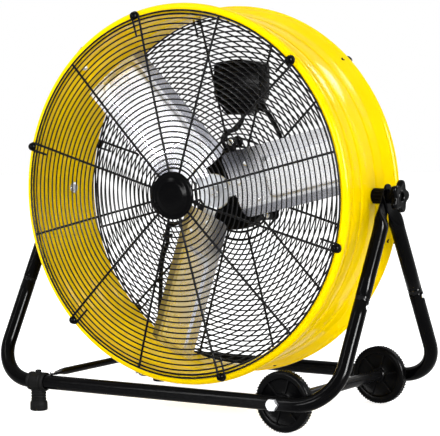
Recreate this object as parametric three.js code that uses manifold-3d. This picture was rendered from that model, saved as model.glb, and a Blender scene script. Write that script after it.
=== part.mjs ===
// A roll-about drum fan: a steel drum between two wire grilles, hung at its sides on a tube stand.
// Millimetres, +Z up. The air leaves along -Y, the wheels are at the +X end, the floor is at Z 0.
import * as THREE from 'three';
import { mergeVertices } from 'three/addons/utils/BufferGeometryUtils.js';
import Module from 'manifold-3d';

const wasm = await Module();
wasm.setup();

// ---- clearances ----
const GAP = 0.3; // between faces that touch
const RUNNING = 0.5; // round a shaft that turns

// ---- drum ----
const PIVOT_Z = 388; // height of the pivots and of the drum's axis
const WALL_R = 319; // outside of the drum's wall
const SHEET = 2; // thickness of the wall with its paint
const LIP_R = WALL_R + 5.5; // centre line of the front rolled lip
const LIP_ROLL = 9; // radius of the front roll
const LIP_Y = -113;
const REAR_LIP_R = WALL_R + 7;
const REAR_ROLL = 7;
const REAR_LIP_Y = 67;
const GROOVE_DEPTH = 1.2;
const GROOVE_HALF = 4;
const GROOVES_Y = [-74, -44, 9];
const FLARE_START_Y = 34; // where the wall starts to widen towards the rear lip
const SCREW_ANGLE = 105.6; // first grille screw, seen from the front, from +X towards +Z
const SCREW_STEP = 60;
const SCREW_COUNT = 6;

// ---- grilles ----
const SPOKE_ANGLE = 14.4;
const SPOKE_STEP = 30;
const SPOKE_COUNT = 12;
const WIRE = 4; // width of the grille's bars
const GRILLE_DEPTH = 4.5;
const GRILLE_R = LIP_R - 3;
const RIM_INSET = 5.5; // from the grille's edge to its outermost ring
const HUB_RING = 36;
const RING_STEP = 45; // between the front grille's rings
const MOUNT_RING = 93; // the rear grille's innermost ring
const CLIP_RING = 186; // the rear grille's ring that the cord is clipped to
const DOME = 12; // the front grille's middle stands this far out
const DOME_EDGE_R = GRILLE_R - 9.5;
const SCREW_R = LIP_R; // the screws go through the crest of the lip
const TAB_R = SCREW_R + 6.5;
const TAB_HALF_ANGLE = 1.3;
const SCREW_SHANK_R = 2.5;
const BALL_R = 7.5;
const HUB_CAP_R = 42;
const HUB_CAP_DEPTH = 8;
const MOUNT_HOLE_R = 76;

// ---- rotor ----
const SHAFT_R = 6;
const TIP_GAP = 14; // between the blades' tips and the wall
const BLADE_R = WALL_R - SHEET - TIP_GAP;
const BLADE_ROOT = 42;
const BLADE_HALF = 58.5;
const BLADE_CORNER = 14; // how far in from its corners the root is rounded
const BLADE_SHEET = 1.5;
const BLADE_SLOPE = 0.355; // run along Y for each unit across the blade, clockwise from the front
const BLADE_RAKE = -0.043; // run along Y for each unit outwards
const BLADE_Y = -8.6; // middle of the root
const BLADE_ANGLES = [13.4, 133.4, 253.4];
const ARM_HALF = 18; // of the neck between the hub's plate and the blade
const ARM_ROOT = 22;
const SPADE_HALF = 44; // of the wide end behind the blade
const ARM_END = 102;
const ARM_SHEET = 3;
const DISH_R = 32;
const DISH_SHEET = 4;
const HUB_R = 15;
const HUB_FRONT_Y = -5;
const HUB_REAR_Y = 40;
const NUT_R = 12;
const NUT_DEPTH = 8;

// ---- motor ----
const MOTOR_R = 73;
const BELL_FRONT_Y = 46;
const BELL_REAR_Y = 60;
const MOTOR_REAR_Y = 104;
const LUG_R = 87;
const LUG_ANGLES = [90, 210, 330];
const LUG_SIZE = 9;
const LUG_DEPTH = 8;

// ---- control box ----
const BOX_X = -4;
const BOX_TOP_Z = PIVOT_Z + 235;
const BOX_SHOULDER_Z = PIVOT_Z + 169;
const BOX_FLOOR_Z = PIVOT_Z + 136;
const BOX_HALF = 49;
const BOX_FLOOR_HALF = 22;
const BOX_BASE_DEPTH = 16;
const BOX_LID_DEPTH = 22;
const BOX_WALL = 2.5;
const KNOB_Z = PIVOT_Z + 200;
const KNOB_R = 17;
const KNOB_DEPTH = 16;
const KNOB_STEM_R = 4;

// ---- pivots ----
const BOLT_R = 5;
const BOLT_HOLE_R = 5.4;
const BOLT_HEAD_R = 11;
const BOLT_HEAD = 4.5;
const SPACER_R = 13.5;
const SPACER_LENGTH = 22.25;
const PLATE = 3; // thickness of a leg's flattened end
const PLATE_X = WALL_R + SPACER_LENGTH + PLATE + 2.5 * GAP; // between the two flattened ends on each pivot
const STAR_MEAN_R = 23.5;
const STAR_LOBE = 6;
const STAR_LOBES = 5;
const STAR_TURN = 147;
const STAR_BOSS_R = 12.5;
const STAR_BOSS = 14.5;
const STAR_DEPTH = 10;
const STAR_RECESS_R = 8;

// ---- handle ----
const HANDLE_ANGLE = 135.3;
const HANDLE_WIDTH = 30;
const HANDLE_FRONT_Y = -72;
const HANDLE_REAR_Y = 12;
const HANDLE_REACH = 38;
const HANDLE_FOOT = 20;
const STRAP = 3;

// ---- stand ----
const TUBE_R = 12.7;
const TUBE_SIDES = 12;
const BEND_R = 75;
const STAND_X = PLATE_X + 2.5; // middle plane of each pair of legs
const BASE_Y = 196.5; // half the spread of the base tubes
const BASE_Z = 52;
const JOINT_RISE = 195; // from the base run to the leg joint, along the leg
const SOCKET_R = 10.4;
const SOCKET_DEPTH = 36;
const SPIGOT = 34;
const PLATE_HALF = 16;
const PLATE_RISE = 6; // from the bolt hole to the start of the rounded end
const FLATTEN_FROM = 60;
const FLATTEN_TO = 32;
const LEG_SCREW_DROP = 13;
const LEG_SCREW_R = 2;
const LEG_SCREW_HEAD_R = 4.5;
const LEG_SCREW_HEAD = 2.4;

const CROSSBAR_INSET = 123.5; // from the left pair of legs
const CROSSBAR_X = -STAND_X + CROSSBAR_INSET;
const CROSSBAR_R = 6.5;
const CROSSBAR_TONGUE = 5;
const CROSSBAR_TONGUE_HALF = 8;
const FOOT_INSET = 93.5; // from the left pair of legs
const FOOT_X = -STAND_X + FOOT_INSET;
const FOOT_R = 15.8;
const FOOT_NECK_R = 13.6;
const COLLAR_R = 16.6;
const COLLAR_HALF = 17.5;

// ---- wheels ----
const WHEEL_R = 52;
const WHEEL_INSET = 107.5; // from the right pair of legs
const WHEEL_X = STAND_X - WHEEL_INSET;
const WHEEL_HALF = 9;
const WHEEL_RIM_R = 40;
const WHEEL_HUB_R = 14;
const WHEEL_HUB_LENGTH = 22.2;
const WHEEL_WEB = 5;
const AXLE_R = 6;
const AXLE_TUBE_R = 10;
const HEX_R = 10.8;
const HEX_DEPTH = 7.5;

// ---- power cord ----
const CORD_R = 4;
const CORD_SIDES = 8;
const CORD_FLOOR = 4.05; // height of the cord's middle where it lies on the floor
const CLIP_X = -162;
const CLIP_Y = 86;
const CLIP_HALF = 4;
const GROMMET_R = 8;
const GROMMET_LENGTH = 14;
const COIL_X = -262;
const COIL_Y = 305;
const COIL_OUTER = 54.75;
const COIL_PITCH = 8.6;
const COIL_TURNS = 2.5; // in each of the two layers
const COIL_TAIL = 32; // straight cord between the last turn and the plug
const LOOP_STEPS = 24;
const COIL_SIDES = 6;
const PLUG_LENGTH = 34;
const PLUG_HALF = 12.3;
const PLUG_NECK = 14;
const PLUG_NECK_R = 6;
const PRONG_LENGTH = 17;

// ---- colours ----
const YELLOW = { color: 0xf5d400, roughness: 0.28, metalness: 0 };
const BLACK_PAINT = { color: 0x14161a, roughness: 0.3, metalness: 0 };
const BLACK_WIRE = { color: 0x0e0f11, roughness: 0.35, metalness: 0 };
const BLACK_PLASTIC = { color: 0x151517, roughness: 0.5, metalness: 0 };
const MOTOR_BLACK = { color: 0x101114, roughness: 0.45, metalness: 0 };
const RUBBER = { color: 0x1b1b1c, roughness: 0.85, metalness: 0 };
const CORD_BLACK = { color: 0x121212, roughness: 0.6, metalness: 0 };
const ALUMINIUM = { color: 0xc9cccf, roughness: 0.35, metalness: 1 };
const ZINC = { color: 0xb9bcc0, roughness: 0.4, metalness: 1 };

const LEG_RUN = Math.hypot(BASE_Y, PIVOT_Z - BASE_Z);
const LEAN_Y = BASE_Y / LEG_RUN;
const LEAN_Z = (PIVOT_Z - BASE_Z) / LEG_RUN;
const FRONT_FACE_Y = LIP_Y - LIP_ROLL;
const REAR_FACE_Y = REAR_LIP_Y + REAR_ROLL;
const FRONT_GRILLE_Y = FRONT_FACE_Y - GAP - GRILLE_DEPTH;
const REAR_GRILLE_Y = REAR_FACE_Y + GAP;
const GRILLE_BACK_Y = REAR_GRILLE_Y + GRILLE_DEPTH;

// ---- helpers ----
function radians(degrees) {
  return THREE.MathUtils.degToRad(degrees);
}

function tidy(geometry) {
  geometry.deleteAttribute('normal');
  geometry.deleteAttribute('uv');
  const merged = mergeVertices(geometry, 1e-3);
  const position = merged.getAttribute('position');
  const source = merged.getIndex().array;
  const index = [];
  const [a, b, c] = [new THREE.Vector3(), new THREE.Vector3(), new THREE.Vector3()];
  let volume = 0;
  for (let i = 0; i < source.length; i += 3) {
    const [p, q, r] = [source[i], source[i + 1], source[i + 2]];
    if (p !== q && q !== r && p !== r) {
      index.push(p, q, r);
      a.fromBufferAttribute(position, p);
      b.fromBufferAttribute(position, q);
      c.fromBufferAttribute(position, r);
      volume += a.dot(b.cross(c));
    }
  }
  if (volume < 0) index.reverse();
  const out = new THREE.BufferGeometry();
  out.setAttribute('position', position);
  out.setIndex(index);
  return out;
}

function toSolid(geometry) {
  const clean = tidy(geometry);
  const mesh = new wasm.Mesh({
    numProp: 3,
    vertProperties: new Float32Array(clean.getAttribute('position').array),
    triVerts: new Uint32Array(clean.getIndex().array),
  });
  return new wasm.Manifold(mesh);
}

function toGeometry(solid) {
  const mesh = solid.getMesh();
  const geometry = new THREE.BufferGeometry();
  geometry.setAttribute('position', new THREE.BufferAttribute(new Float32Array(mesh.vertProperties), 3));
  geometry.setIndex(Array.from(mesh.triVerts));
  return geometry;
}

function combine(base, added, removed) {
  let solid = toSolid(base);
  for (const geometry of added) solid = solid.add(toSolid(geometry));
  for (const geometry of removed) solid = solid.subtract(toSolid(geometry));
  return toGeometry(solid);
}

function loft(rings) {
  const count = rings[0].length;
  const last = (rings.length - 1) * count;
  const index = [];
  for (let ring = 0; ring < last; ring += count) {
    for (let i = 0; i < count; i += 1) {
      const j = (i + 1) % count;
      index.push(ring + i, ring + j, ring + j + count);
      index.push(ring + i, ring + j + count, ring + i + count);
    }
  }
  for (let i = 1; i < count - 1; i += 1) {
    index.push(0, i + 1, i);
    index.push(last, last + i, last + i + 1);
  }
  const geometry = new THREE.BufferGeometry().setFromPoints(rings.flat());
  geometry.setIndex(index);
  return geometry;
}

// a body turned round the Y axis from [radius, y] corners that start and end on the axis or close
function turned(corners, segments) {
  return new THREE.LatheGeometry(corners.map(([r, y]) => new THREE.Vector2(r, y)), segments);
}

function closed(corners) {
  return [...corners, corners[0]];
}

function rod(radius, from, to, segments) {
  return turned([[0, from], [radius, from], [radius, to], [0, to]], segments);
}

function sleeve(inner, outer, from, to, segments) {
  return turned(closed([[inner, from], [outer, from], [outer, to], [inner, to]]), segments);
}

// turns a body made round Y so that its +Y end points along +X or +Z
function alongX(geometry) {
  return geometry.rotateZ(-Math.PI / 2);
}

function alongZ(geometry) {
  return geometry.rotateX(Math.PI / 2);
}

// a flat outline in X and Z with a depth along Y from a start
function plate(corners, holes, start, depth) {
  const shape = new THREE.Shape(corners.map(([x, z]) => new THREE.Vector2(x, z)));
  for (const hole of holes) {
    shape.holes.push(new THREE.Path(hole.map(([x, z]) => new THREE.Vector2(x, z))));
  }
  const geometry = new THREE.ExtrudeGeometry(shape, { depth, bevelEnabled: false });
  geometry.rotateX(Math.PI / 2);
  return geometry.translate(0, start + depth, 0);
}

function polar(radius, degrees) {
  return [radius * Math.cos(radians(degrees)), radius * Math.sin(radians(degrees))];
}

function roundOutline(radius, count, startDegrees) {
  const corners = [];
  for (let i = 0; i < count; i += 1) corners.push(polar(radius, startDegrees + (i * 360) / count));
  return corners;
}

// moves each corner of a body along Y by a rule of its X and Z
function pressed(geometry, rule) {
  const position = geometry.getAttribute('position');
  for (let i = 0; i < position.count; i += 1) {
    position.setY(i, position.getY(i) + rule(position.getX(i), position.getZ(i)));
  }
  return geometry;
}

function cordTube(points, lengthPerStep) {
  const curve = new THREE.CatmullRomCurve3(points.map((p) => new THREE.Vector3(...p)), false, 'centripetal');
  const shape = new THREE.Shape(roundOutline(CORD_R, CORD_SIDES, 0).map(([x, y]) => new THREE.Vector2(x, y)));
  const steps = Math.round(curve.getLength() / lengthPerStep);
  return new THREE.ExtrudeGeometry(shape, { steps, extrudePath: curve, bevelEnabled: false });
}

// ---- drum ----
function arcCorners(centreR, centreY, radius, fromDegrees, toDegrees, steps) {
  const corners = [];
  for (let i = 0; i <= steps; i += 1) {
    const angle = radians(fromDegrees + ((toDegrees - fromDegrees) * i) / steps);
    corners.push([centreR + radius * Math.cos(angle), centreY + radius * Math.sin(angle)]);
  }
  return corners;
}

function drumShell() {
  const outside = [[WALL_R, LIP_Y + LIP_ROLL + 6]];
  for (const y of GROOVES_Y) {
    outside.push([WALL_R, y - GROOVE_HALF]);
    outside.push([WALL_R - GROOVE_DEPTH, y]);
    outside.push([WALL_R, y + GROOVE_HALF]);
  }
  outside.push([WALL_R, FLARE_START_Y]);
  const inside = [
    [REAR_LIP_R - REAR_ROLL - SHEET + 1, REAR_LIP_Y - REAR_ROLL],
    [WALL_R - SHEET, FLARE_START_Y],
    [WALL_R - SHEET, LIP_Y + LIP_ROLL],
  ];
  const frontLip = arcCorners(LIP_R, LIP_Y, LIP_ROLL, -170, 70, 6);
  const rearLip = arcCorners(REAR_LIP_R, REAR_LIP_Y, REAR_ROLL, -60, 190, 5);
  const shell = turned(closed([...frontLip, ...outside, ...rearLip, ...inside]), 40);
  const bore = alongX(rod(BOLT_HOLE_R, -WALL_R - 2, WALL_R + 2, 8));
  return combine(shell, [], [bore]);
}

// the rings between two radii, evenly spaced, both ends counted
function evenRings(inner, outer, steps) {
  const rings = [];
  for (let i = 0; i <= steps; i += 1) rings.push(inner + ((outer - inner) * i) / steps);
  return rings;
}

function frontRings() {
  const rings = [];
  for (let r = GRILLE_R - RIM_INSET; r > HUB_RING + RING_STEP / 2; r -= RING_STEP) rings.unshift(r);
  return [HUB_RING, ...rings];
}

function rearRings() {
  const beyondClip = evenRings(CLIP_RING, GRILLE_R - RIM_INSET, 3).slice(1);
  return [...evenRings(MOUNT_RING, CLIP_RING, 2), ...beyondClip];
}

function bandGaps(rings) {
  const gaps = [];
  for (let band = 0; band < rings.length - 1; band += 1) {
    const inner = rings[band] + WIRE / 2;
    const outer = rings[band + 1] - WIRE / 2;
    for (let spoke = 0; spoke < SPOKE_COUNT; spoke += 1) {
      const start = SPOKE_ANGLE + spoke * SPOKE_STEP;
      const end = start + SPOKE_STEP;
      const offOuter = THREE.MathUtils.radToDeg(Math.asin(WIRE / 2 / outer));
      const offInner = THREE.MathUtils.radToDeg(Math.asin(WIRE / 2 / inner));
      const middle = (start + end) / 2;
      gaps.push([
        polar(outer, start + offOuter),
        polar(outer, middle),
        polar(outer, end - offOuter),
        polar(inner, end - offInner),
        polar(inner, middle),
        polar(inner, start + offInner),
      ]);
    }
  }
  return gaps;
}

function grilleOutline() {
  const corners = [];
  for (let screw = 0; screw < SCREW_COUNT; screw += 1) {
    const middle = SCREW_ANGLE + screw * SCREW_STEP;
    corners.push(polar(GRILLE_R, middle - 2 * TAB_HALF_ANGLE));
    corners.push(polar(TAB_R, middle - TAB_HALF_ANGLE));
    corners.push(polar(TAB_R, middle + TAB_HALF_ANGLE));
    corners.push(polar(GRILLE_R, middle + 2 * TAB_HALF_ANGLE));
    for (let i = 1; i < 7; i += 1) corners.push(polar(GRILLE_R, middle + (SCREW_STEP * i) / 7));
  }
  return corners;
}

function screwHoles() {
  const holes = [];
  for (let screw = 0; screw < SCREW_COUNT; screw += 1) {
    const [x, z] = polar(SCREW_R, SCREW_ANGLE + screw * SCREW_STEP);
    holes.push(roundOutline(SCREW_SHANK_R + 0.5, 6, 0).map(([dx, dz]) => [x + dx, z + dz]));
  }
  return holes;
}

function net(holes, start) {
  const cuts = holes.map((hole) => plate(hole, [], start - 1, GRILLE_DEPTH + 2));
  return combine(plate(grilleOutline(), [], start, GRILLE_DEPTH), [], cuts);
}

function frontGrille() {
  const middle = roundOutline(HUB_RING - WIRE / 2, 12, SPOKE_ANGLE);
  const flat = net([middle, ...bandGaps(frontRings()), ...screwHoles()], FRONT_GRILLE_Y);
  return pressed(flat, (x, z) => -DOME * Math.max(0, 1 - (x * x + z * z) / (DOME_EDGE_R * DOME_EDGE_R)));
}

function rearGrille() {
  const centre = roundOutline(MOUNT_HOLE_R, 24, 0);
  const flat = net([centre, ...bandGaps(rearRings()), ...screwHoles()], REAR_GRILLE_Y);
  const posts = LUG_ANGLES.map((angle) => {
    const [x, z] = polar(LUG_R, angle);
    return rod(LUG_SIZE, BELL_REAR_Y + GAP, REAR_GRILLE_Y + 1, 10).translate(x, 0, z);
  });
  return combine(flat, posts, []);
}

function hubCap() {
  const back = FRONT_GRILLE_Y - DOME - GAP;
  const front = back - HUB_CAP_DEPTH;
  const corners = [[0, back], [HUB_CAP_R, back], [HUB_CAP_R, back - 3], [HUB_CAP_R - 5, back - 5]];
  return turned([...corners, [HUB_CAP_R - 10, back - 5], [HUB_CAP_R - 16, front], [0, front]], 24);
}

function ballScrew(seatY, outward) {
  const corners = [[0, 0], [SCREW_SHANK_R, 0], [SCREW_SHANK_R, GRILLE_DEPTH + GAP]];
  corners.push(...arcCorners(0, GRILLE_DEPTH + GAP, BALL_R, 0, 90, 3));
  return turned(corners.map(([r, y]) => [Math.max(r, 0), seatY + outward * y]), 8);
}

function handle() {
  const r0 = WALL_R + GAP;
  const r1 = r0 + HANDLE_REACH;
  const front = HANDLE_FRONT_Y;
  const rear = HANDLE_REAR_Y;
  const corners = [
    [front - HANDLE_FOOT, r0],
    [front, r0],
    [front, r1 - STRAP - 4],
    [front + 4, r1 - STRAP],
    [rear - 4, r1 - STRAP],
    [rear, r1 - STRAP - 4],
    [rear, r0],
    [rear + HANDLE_FOOT, r0],
    [rear + HANDLE_FOOT, r0 + STRAP],
    [rear + STRAP, r0 + STRAP],
    [rear + STRAP, r1 - 6],
    [rear - 3, r1],
    [front + 3, r1],
    [front - STRAP, r1 - 6],
    [front - STRAP, r0 + STRAP],
    [front - HANDLE_FOOT, r0 + STRAP],
  ];
  const shape = new THREE.Shape(corners.map(([y, r]) => new THREE.Vector2(y, r)));
  const geometry = new THREE.ExtrudeGeometry(shape, { depth: HANDLE_WIDTH, bevelEnabled: false });
  geometry.translate(0, 0, -HANDLE_WIDTH / 2);
  geometry.applyMatrix4(new THREE.Matrix4().set(0, 1, 0, 0, 1, 0, 0, 0, 0, 0, -1, 0, 0, 0, 0, 1));
  return geometry.rotateY(-radians(HANDLE_ANGLE));
}

// ---- rotor ----
function bladePlane(geometry) {
  return pressed(geometry, (t, r) => BLADE_Y + BLADE_RAKE * (r - BLADE_ROOT) + BLADE_SLOPE * t);
}

// drawn with the blade pointing up, then turned to its place round the shaft
function toAngle(geometry, degrees) {
  return geometry.rotateY(radians(90 - degrees));
}

function blade(degrees) {
  const inset = BLADE_HALF - BLADE_CORNER;
  const eased = 0.29 * BLADE_CORNER; // a round corner's middle, in from the square one
  const right = [[inset, BLADE_ROOT], [BLADE_HALF - eased, BLADE_ROOT + eased], [BLADE_HALF, BLADE_ROOT + BLADE_CORNER]];
  const corners = [...right];
  for (let i = 0; i <= 6; i += 1) {
    const t = BLADE_HALF - (i * BLADE_HALF) / 3;
    corners.push([t, Math.sqrt(BLADE_R * BLADE_R - t * t)]);
  }
  corners.push(...right.reverse().map(([t, r]) => [-t, r]));
  return toAngle(bladePlane(plate(corners, [], -BLADE_SHEET / 2, BLADE_SHEET)), degrees);
}

// a neck that turns from the hub's plate to the blade's slope, and a wide end behind the blade
function spiderArm(degrees) {
  const behind = BLADE_Y + BLADE_SHEET / 2 + GAP;
  const flat = HUB_FRONT_Y + (DISH_SHEET - ARM_SHEET) / 2;
  const slope = (t, r) => behind + BLADE_RAKE * (r - BLADE_ROOT) + BLADE_SLOPE * t;
  const neckEnd = BLADE_ROOT - GAP;
  const neck = [[ARM_HALF, ARM_ROOT], [ARM_HALF, neckEnd], [-ARM_HALF, neckEnd], [-ARM_HALF, ARM_ROOT]];
  const right = [[ARM_HALF, neckEnd - 2], [ARM_HALF, BLADE_ROOT + 6], [SPADE_HALF, BLADE_ROOT + 30]];
  right.push([SPADE_HALF, ARM_END - 10], [SPADE_HALF - 10, ARM_END]);
  const spade = [...right, ...right.map(([t, r]) => [-t, r]).reverse()];
  const turnedNeck = pressed(plate(neck, [], 0, ARM_SHEET), (t, r) => (r > ARM_ROOT + 1 ? slope(t, r) : flat));
  return [turnedNeck, pressed(plate(spade, [], 0, ARM_SHEET), slope)].map((piece) => toAngle(piece, degrees));
}

function bladeSpider() {
  const bore = SHAFT_R + GAP;
  const corners = [[bore, HUB_FRONT_Y], [DISH_R, HUB_FRONT_Y], [DISH_R, HUB_FRONT_Y + DISH_SHEET]];
  corners.push([HUB_R, HUB_FRONT_Y + DISH_SHEET], [HUB_R, HUB_REAR_Y], [bore, HUB_REAR_Y]);
  return combine(turned(closed(corners), 24), BLADE_ANGLES.flatMap(spiderArm), []);
}

function motorShaft() {
  const from = HUB_FRONT_Y - NUT_DEPTH - 1;
  return rod(SHAFT_R, from, MOTOR_REAR_Y - 9, 12);
}

function hexNut(bore, outer, from, to) {
  return combine(rod(outer, from, to, 6), [], [rod(bore, from - 1, to + 1, 12)]);
}

// ---- motor ----
function motorBell() {
  const bore = SHAFT_R + RUNNING;
  const corners = [[bore, BELL_FRONT_Y], [22, BELL_FRONT_Y], [26, BELL_FRONT_Y + 3], [62, BELL_FRONT_Y + 4]];
  corners.push([MOTOR_R, BELL_FRONT_Y + 10], [MOTOR_R, BELL_REAR_Y], [bore, BELL_REAR_Y]);
  const lugs = LUG_ANGLES.map((angle) => {
    const [x, z] = polar(LUG_R, angle);
    return rod(LUG_SIZE, BELL_REAR_Y - LUG_DEPTH, BELL_REAR_Y, 10).translate(x, 0, z);
  });
  const webs = LUG_ANGLES.map((angle) => {
    const web = new THREE.BoxGeometry(LUG_R - MOTOR_R + 8, LUG_DEPTH, 2 * LUG_SIZE - 4);
    web.translate((LUG_R + MOTOR_R - 8) / 2, BELL_REAR_Y - LUG_DEPTH / 2, 0);
    return web.rotateY(-radians(angle));
  });
  return combine(turned(closed(corners), 24), [...webs, ...lugs], []);
}

function motorHousing() {
  const bore = SHAFT_R + RUNNING;
  const front = BELL_REAR_Y + GAP;
  const blind = MOTOR_REAR_Y - 8;
  const corners = [[0, blind], [bore, blind], [bore, front], [MOTOR_R, front], [MOTOR_R, MOTOR_REAR_Y - 10]];
  corners.push([MOTOR_R - 8, MOTOR_REAR_Y - 2], [24, MOTOR_REAR_Y - 2], [20, MOTOR_REAR_Y], [0, MOTOR_REAR_Y]);
  return turned(corners, 24);
}

// ---- control box ----
function boxOutline(inset) {
  const top = BOX_TOP_Z - PIVOT_Z - inset;
  const shoulder = BOX_SHOULDER_Z - PIVOT_Z;
  const floor = BOX_FLOOR_Z - PIVOT_Z + inset;
  const half = BOX_HALF - inset;
  const low = BOX_FLOOR_HALF - inset / 2;
  const corners = [[half, shoulder], [half, top - 10], [half - 6, top - 2], [0, top + 3]];
  corners.push([-half + 6, top - 2], [-half, top - 10], [-half, shoulder], [-low, floor], [low, floor]);
  return corners.map(([x, z]) => [BOX_X + x, z]);
}

const BOX_FRONT_Y = GRILLE_BACK_Y + GAP;
const BOX_SPLIT_Y = BOX_FRONT_Y + BOX_BASE_DEPTH;
const BOX_REAR_Y = BOX_SPLIT_Y + GAP + BOX_LID_DEPTH;

function boxBase() {
  const body = plate(boxOutline(0), [], BOX_FRONT_Y, BOX_BASE_DEPTH);
  const pocket = plate(boxOutline(BOX_WALL), [], BOX_FRONT_Y + BOX_WALL, BOX_BASE_DEPTH);
  return combine(body, [], [pocket]);
}

function boxLid() {
  const body = plate(boxOutline(0), [], BOX_SPLIT_Y + GAP, BOX_LID_DEPTH);
  const pocket = plate(boxOutline(BOX_WALL), [], BOX_SPLIT_Y - 1, BOX_LID_DEPTH - BOX_WALL + 1);
  const stemHole = rod(KNOB_STEM_R + GAP, BOX_REAR_Y - 6, BOX_REAR_Y + 2, 16);
  return combine(body, [], [pocket, stemHole.translate(BOX_X, 0, KNOB_Z - PIVOT_Z)]);
}

function speedKnob() {
  const seat = BOX_REAR_Y + GAP;
  const corners = [[0, BOX_SPLIT_Y], [KNOB_STEM_R, BOX_SPLIT_Y], [KNOB_STEM_R, seat], [KNOB_R, seat]];
  corners.push([KNOB_R, seat + 5], [KNOB_R - 3, seat + 7], [0, seat + 7]);
  const grip = new THREE.BoxGeometry(8, KNOB_DEPTH - 6, 2 * KNOB_R - 6).translate(0, seat + KNOB_DEPTH - 6, 0);
  return combine(turned(corners, 16), [grip], []).translate(BOX_X, 0, KNOB_Z - PIVOT_Z);
}

// the cord's outlet is square to the box's slanted lower right side
const SLANT = new THREE.Vector2(BOX_SHOULDER_Z - BOX_FLOOR_Z, BOX_FLOOR_HALF - BOX_HALF).normalize();
const OUTLET_X = BOX_X + (BOX_HALF + BOX_FLOOR_HALF) / 2;
const OUTLET_Z = (BOX_SHOULDER_Z + BOX_FLOOR_Z) / 2 - PIVOT_Z;
const OUTLET_Y = BOX_SPLIT_Y + 9;

function outletPoint(distance) {
  return [OUTLET_X + SLANT.x * distance, OUTLET_Y, OUTLET_Z + SLANT.y * distance];
}

function cordGrommet() {
  const corners = [[0, GAP], [GROMMET_R + 2, GAP], [GROMMET_R + 2, 4], [GROMMET_R, 4]];
  corners.push([GROMMET_R - 2.5, GROMMET_LENGTH], [0, GROMMET_LENGTH]);
  const body = alongX(turned(corners, 12)).rotateY(-Math.atan2(SLANT.y, SLANT.x));
  return body.translate(OUTLET_X, OUTLET_Y, OUTLET_Z);
}

// from the box round the back of the motor to the clip, where the cord leaves the drum
function fixedCord(clipZ) {
  const end = clipZ - CLIP_HALF - 1;
  return cordTube([
    outletPoint(GROMMET_LENGTH + GAP),
    outletPoint(GROMMET_LENGTH + GAP + 2 * CORD_R),
    [66, 108, 108],
    [74, 110, 82],
    [69, 109, 50],
    [40, 110, 14],
    [-4, 110, -14],
    [-56, 109, -38],
    [-92, 97, -52],
    [-120, 88, -61],
    [-146, CLIP_Y, -69],
    [CLIP_X + 4, CLIP_Y, clipZ + 18],
    [CLIP_X, CLIP_Y, clipZ + CLIP_HALF],
    [CLIP_X, CLIP_Y, end],
  ], 12);
}

function cordClip(clipZ) {
  const back = GRILLE_BACK_Y + GAP;
  const front = CLIP_Y + CORD_R + 3;
  const body = new THREE.BoxGeometry(16, front - back, 2 * CLIP_HALF).translate(CLIP_X, (front + back) / 2, clipZ);
  const bore = alongZ(rod(CORD_R + GAP, -CLIP_HALF - 1, CLIP_HALF + 1, 12)).translate(CLIP_X, CLIP_Y, clipZ);
  return combine(body, [], [bore]);
}

const LEAD_Y = 84;

function motorLead() {
  const floor = BOX_FLOOR_Z - PIVOT_Z - GAP;
  const curve = new THREE.CatmullRomCurve3([
    new THREE.Vector3(BOX_X + 8, BOX_FRONT_Y + 8, floor),
    new THREE.Vector3(BOX_X + 8, BOX_FRONT_Y + 8, floor - 8),
    new THREE.Vector3(-8, 87, 110),
    new THREE.Vector3(-32, 86, 102),
    new THREE.Vector3(-39, 85, 90),
    new THREE.Vector3(-31.2, LEAD_Y, 75.8),
    new THREE.Vector3(-28.1, LEAD_Y, 68.2),
  ], false, 'centripetal');
  const shape = new THREE.Shape(roundOutline(3.5, 8, 0).map(([x, y]) => new THREE.Vector2(x, y)));
  return new THREE.ExtrudeGeometry(shape, { steps: 12, extrudePath: curve, bevelEnabled: false });
}

// ---- pivots, made at the right end ----
const PLATE_INNER_X = PLATE_X - GAP / 2 - PLATE;
const PLATE_OUTER_X = PLATE_X + GAP / 2 + PLATE;
const STAR_X = PLATE_OUTER_X + GAP;

function pivotSpacer() {
  return alongX(sleeve(BOLT_HOLE_R, SPACER_R, WALL_R + GAP, PLATE_INNER_X - GAP, 16));
}

function pivotBolt() {
  const seat = WALL_R - SHEET - 4 * GAP;
  const tip = STAR_X + STAR_BOSS + 3;
  const corners = [[0, seat - BOLT_HEAD], [BOLT_HEAD_R - 4, seat - BOLT_HEAD], [BOLT_HEAD_R, seat - 1.5]];
  corners.push([BOLT_HEAD_R, seat], [BOLT_R, seat], [BOLT_R, tip], [0, tip]);
  return alongX(turned(corners, 12));
}

function starKnob() {
  const corners = [];
  for (let i = 0; i < 30; i += 1) {
    const angle = i * 12;
    corners.push(polar(STAR_MEAN_R + STAR_LOBE * Math.cos(radians(STAR_LOBES * (angle - STAR_TURN))), angle));
  }
  const star = plate(corners, [], 0, STAR_DEPTH).rotateY(Math.PI / 2).rotateZ(-Math.PI / 2);
  star.translate(STAR_X + STAR_BOSS, 0, 0);
  const boss = alongX(rod(STAR_BOSS_R, STAR_X, STAR_X + STAR_BOSS + 2, 16));
  const bore = alongX(rod(BOLT_R + GAP, STAR_X - 1, STAR_X + STAR_BOSS + 3 + GAP, 12));
  const recess = alongX(rod(STAR_RECESS_R, STAR_X + STAR_BOSS + 6, STAR_X + STAR_BOSS + STAR_DEPTH + 1, 12));
  return combine(star, [boss], [bore, recess]);
}

// ---- stand ----
// a place on the front leg plane: x across, s up the slope from the base run, out square to the plane
function onSlope(x, s, out) {
  const y = -BASE_Y + s * LEAN_Y - out * LEAN_Z;
  return new THREE.Vector3(x, y, BASE_Z + s * LEAN_Z + out * LEAN_Y);
}

function tubeRing(x, s, turn, radius) {
  const ring = [];
  for (let i = 0; i < TUBE_SIDES; i += 1) {
    const angle = (2 * Math.PI * i) / TUBE_SIDES;
    const side = radius * Math.cos(angle);
    ring.push(onSlope(x + side * Math.cos(turn), s + side * Math.sin(turn), radius * Math.sin(angle)));
  }
  return ring;
}

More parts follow.
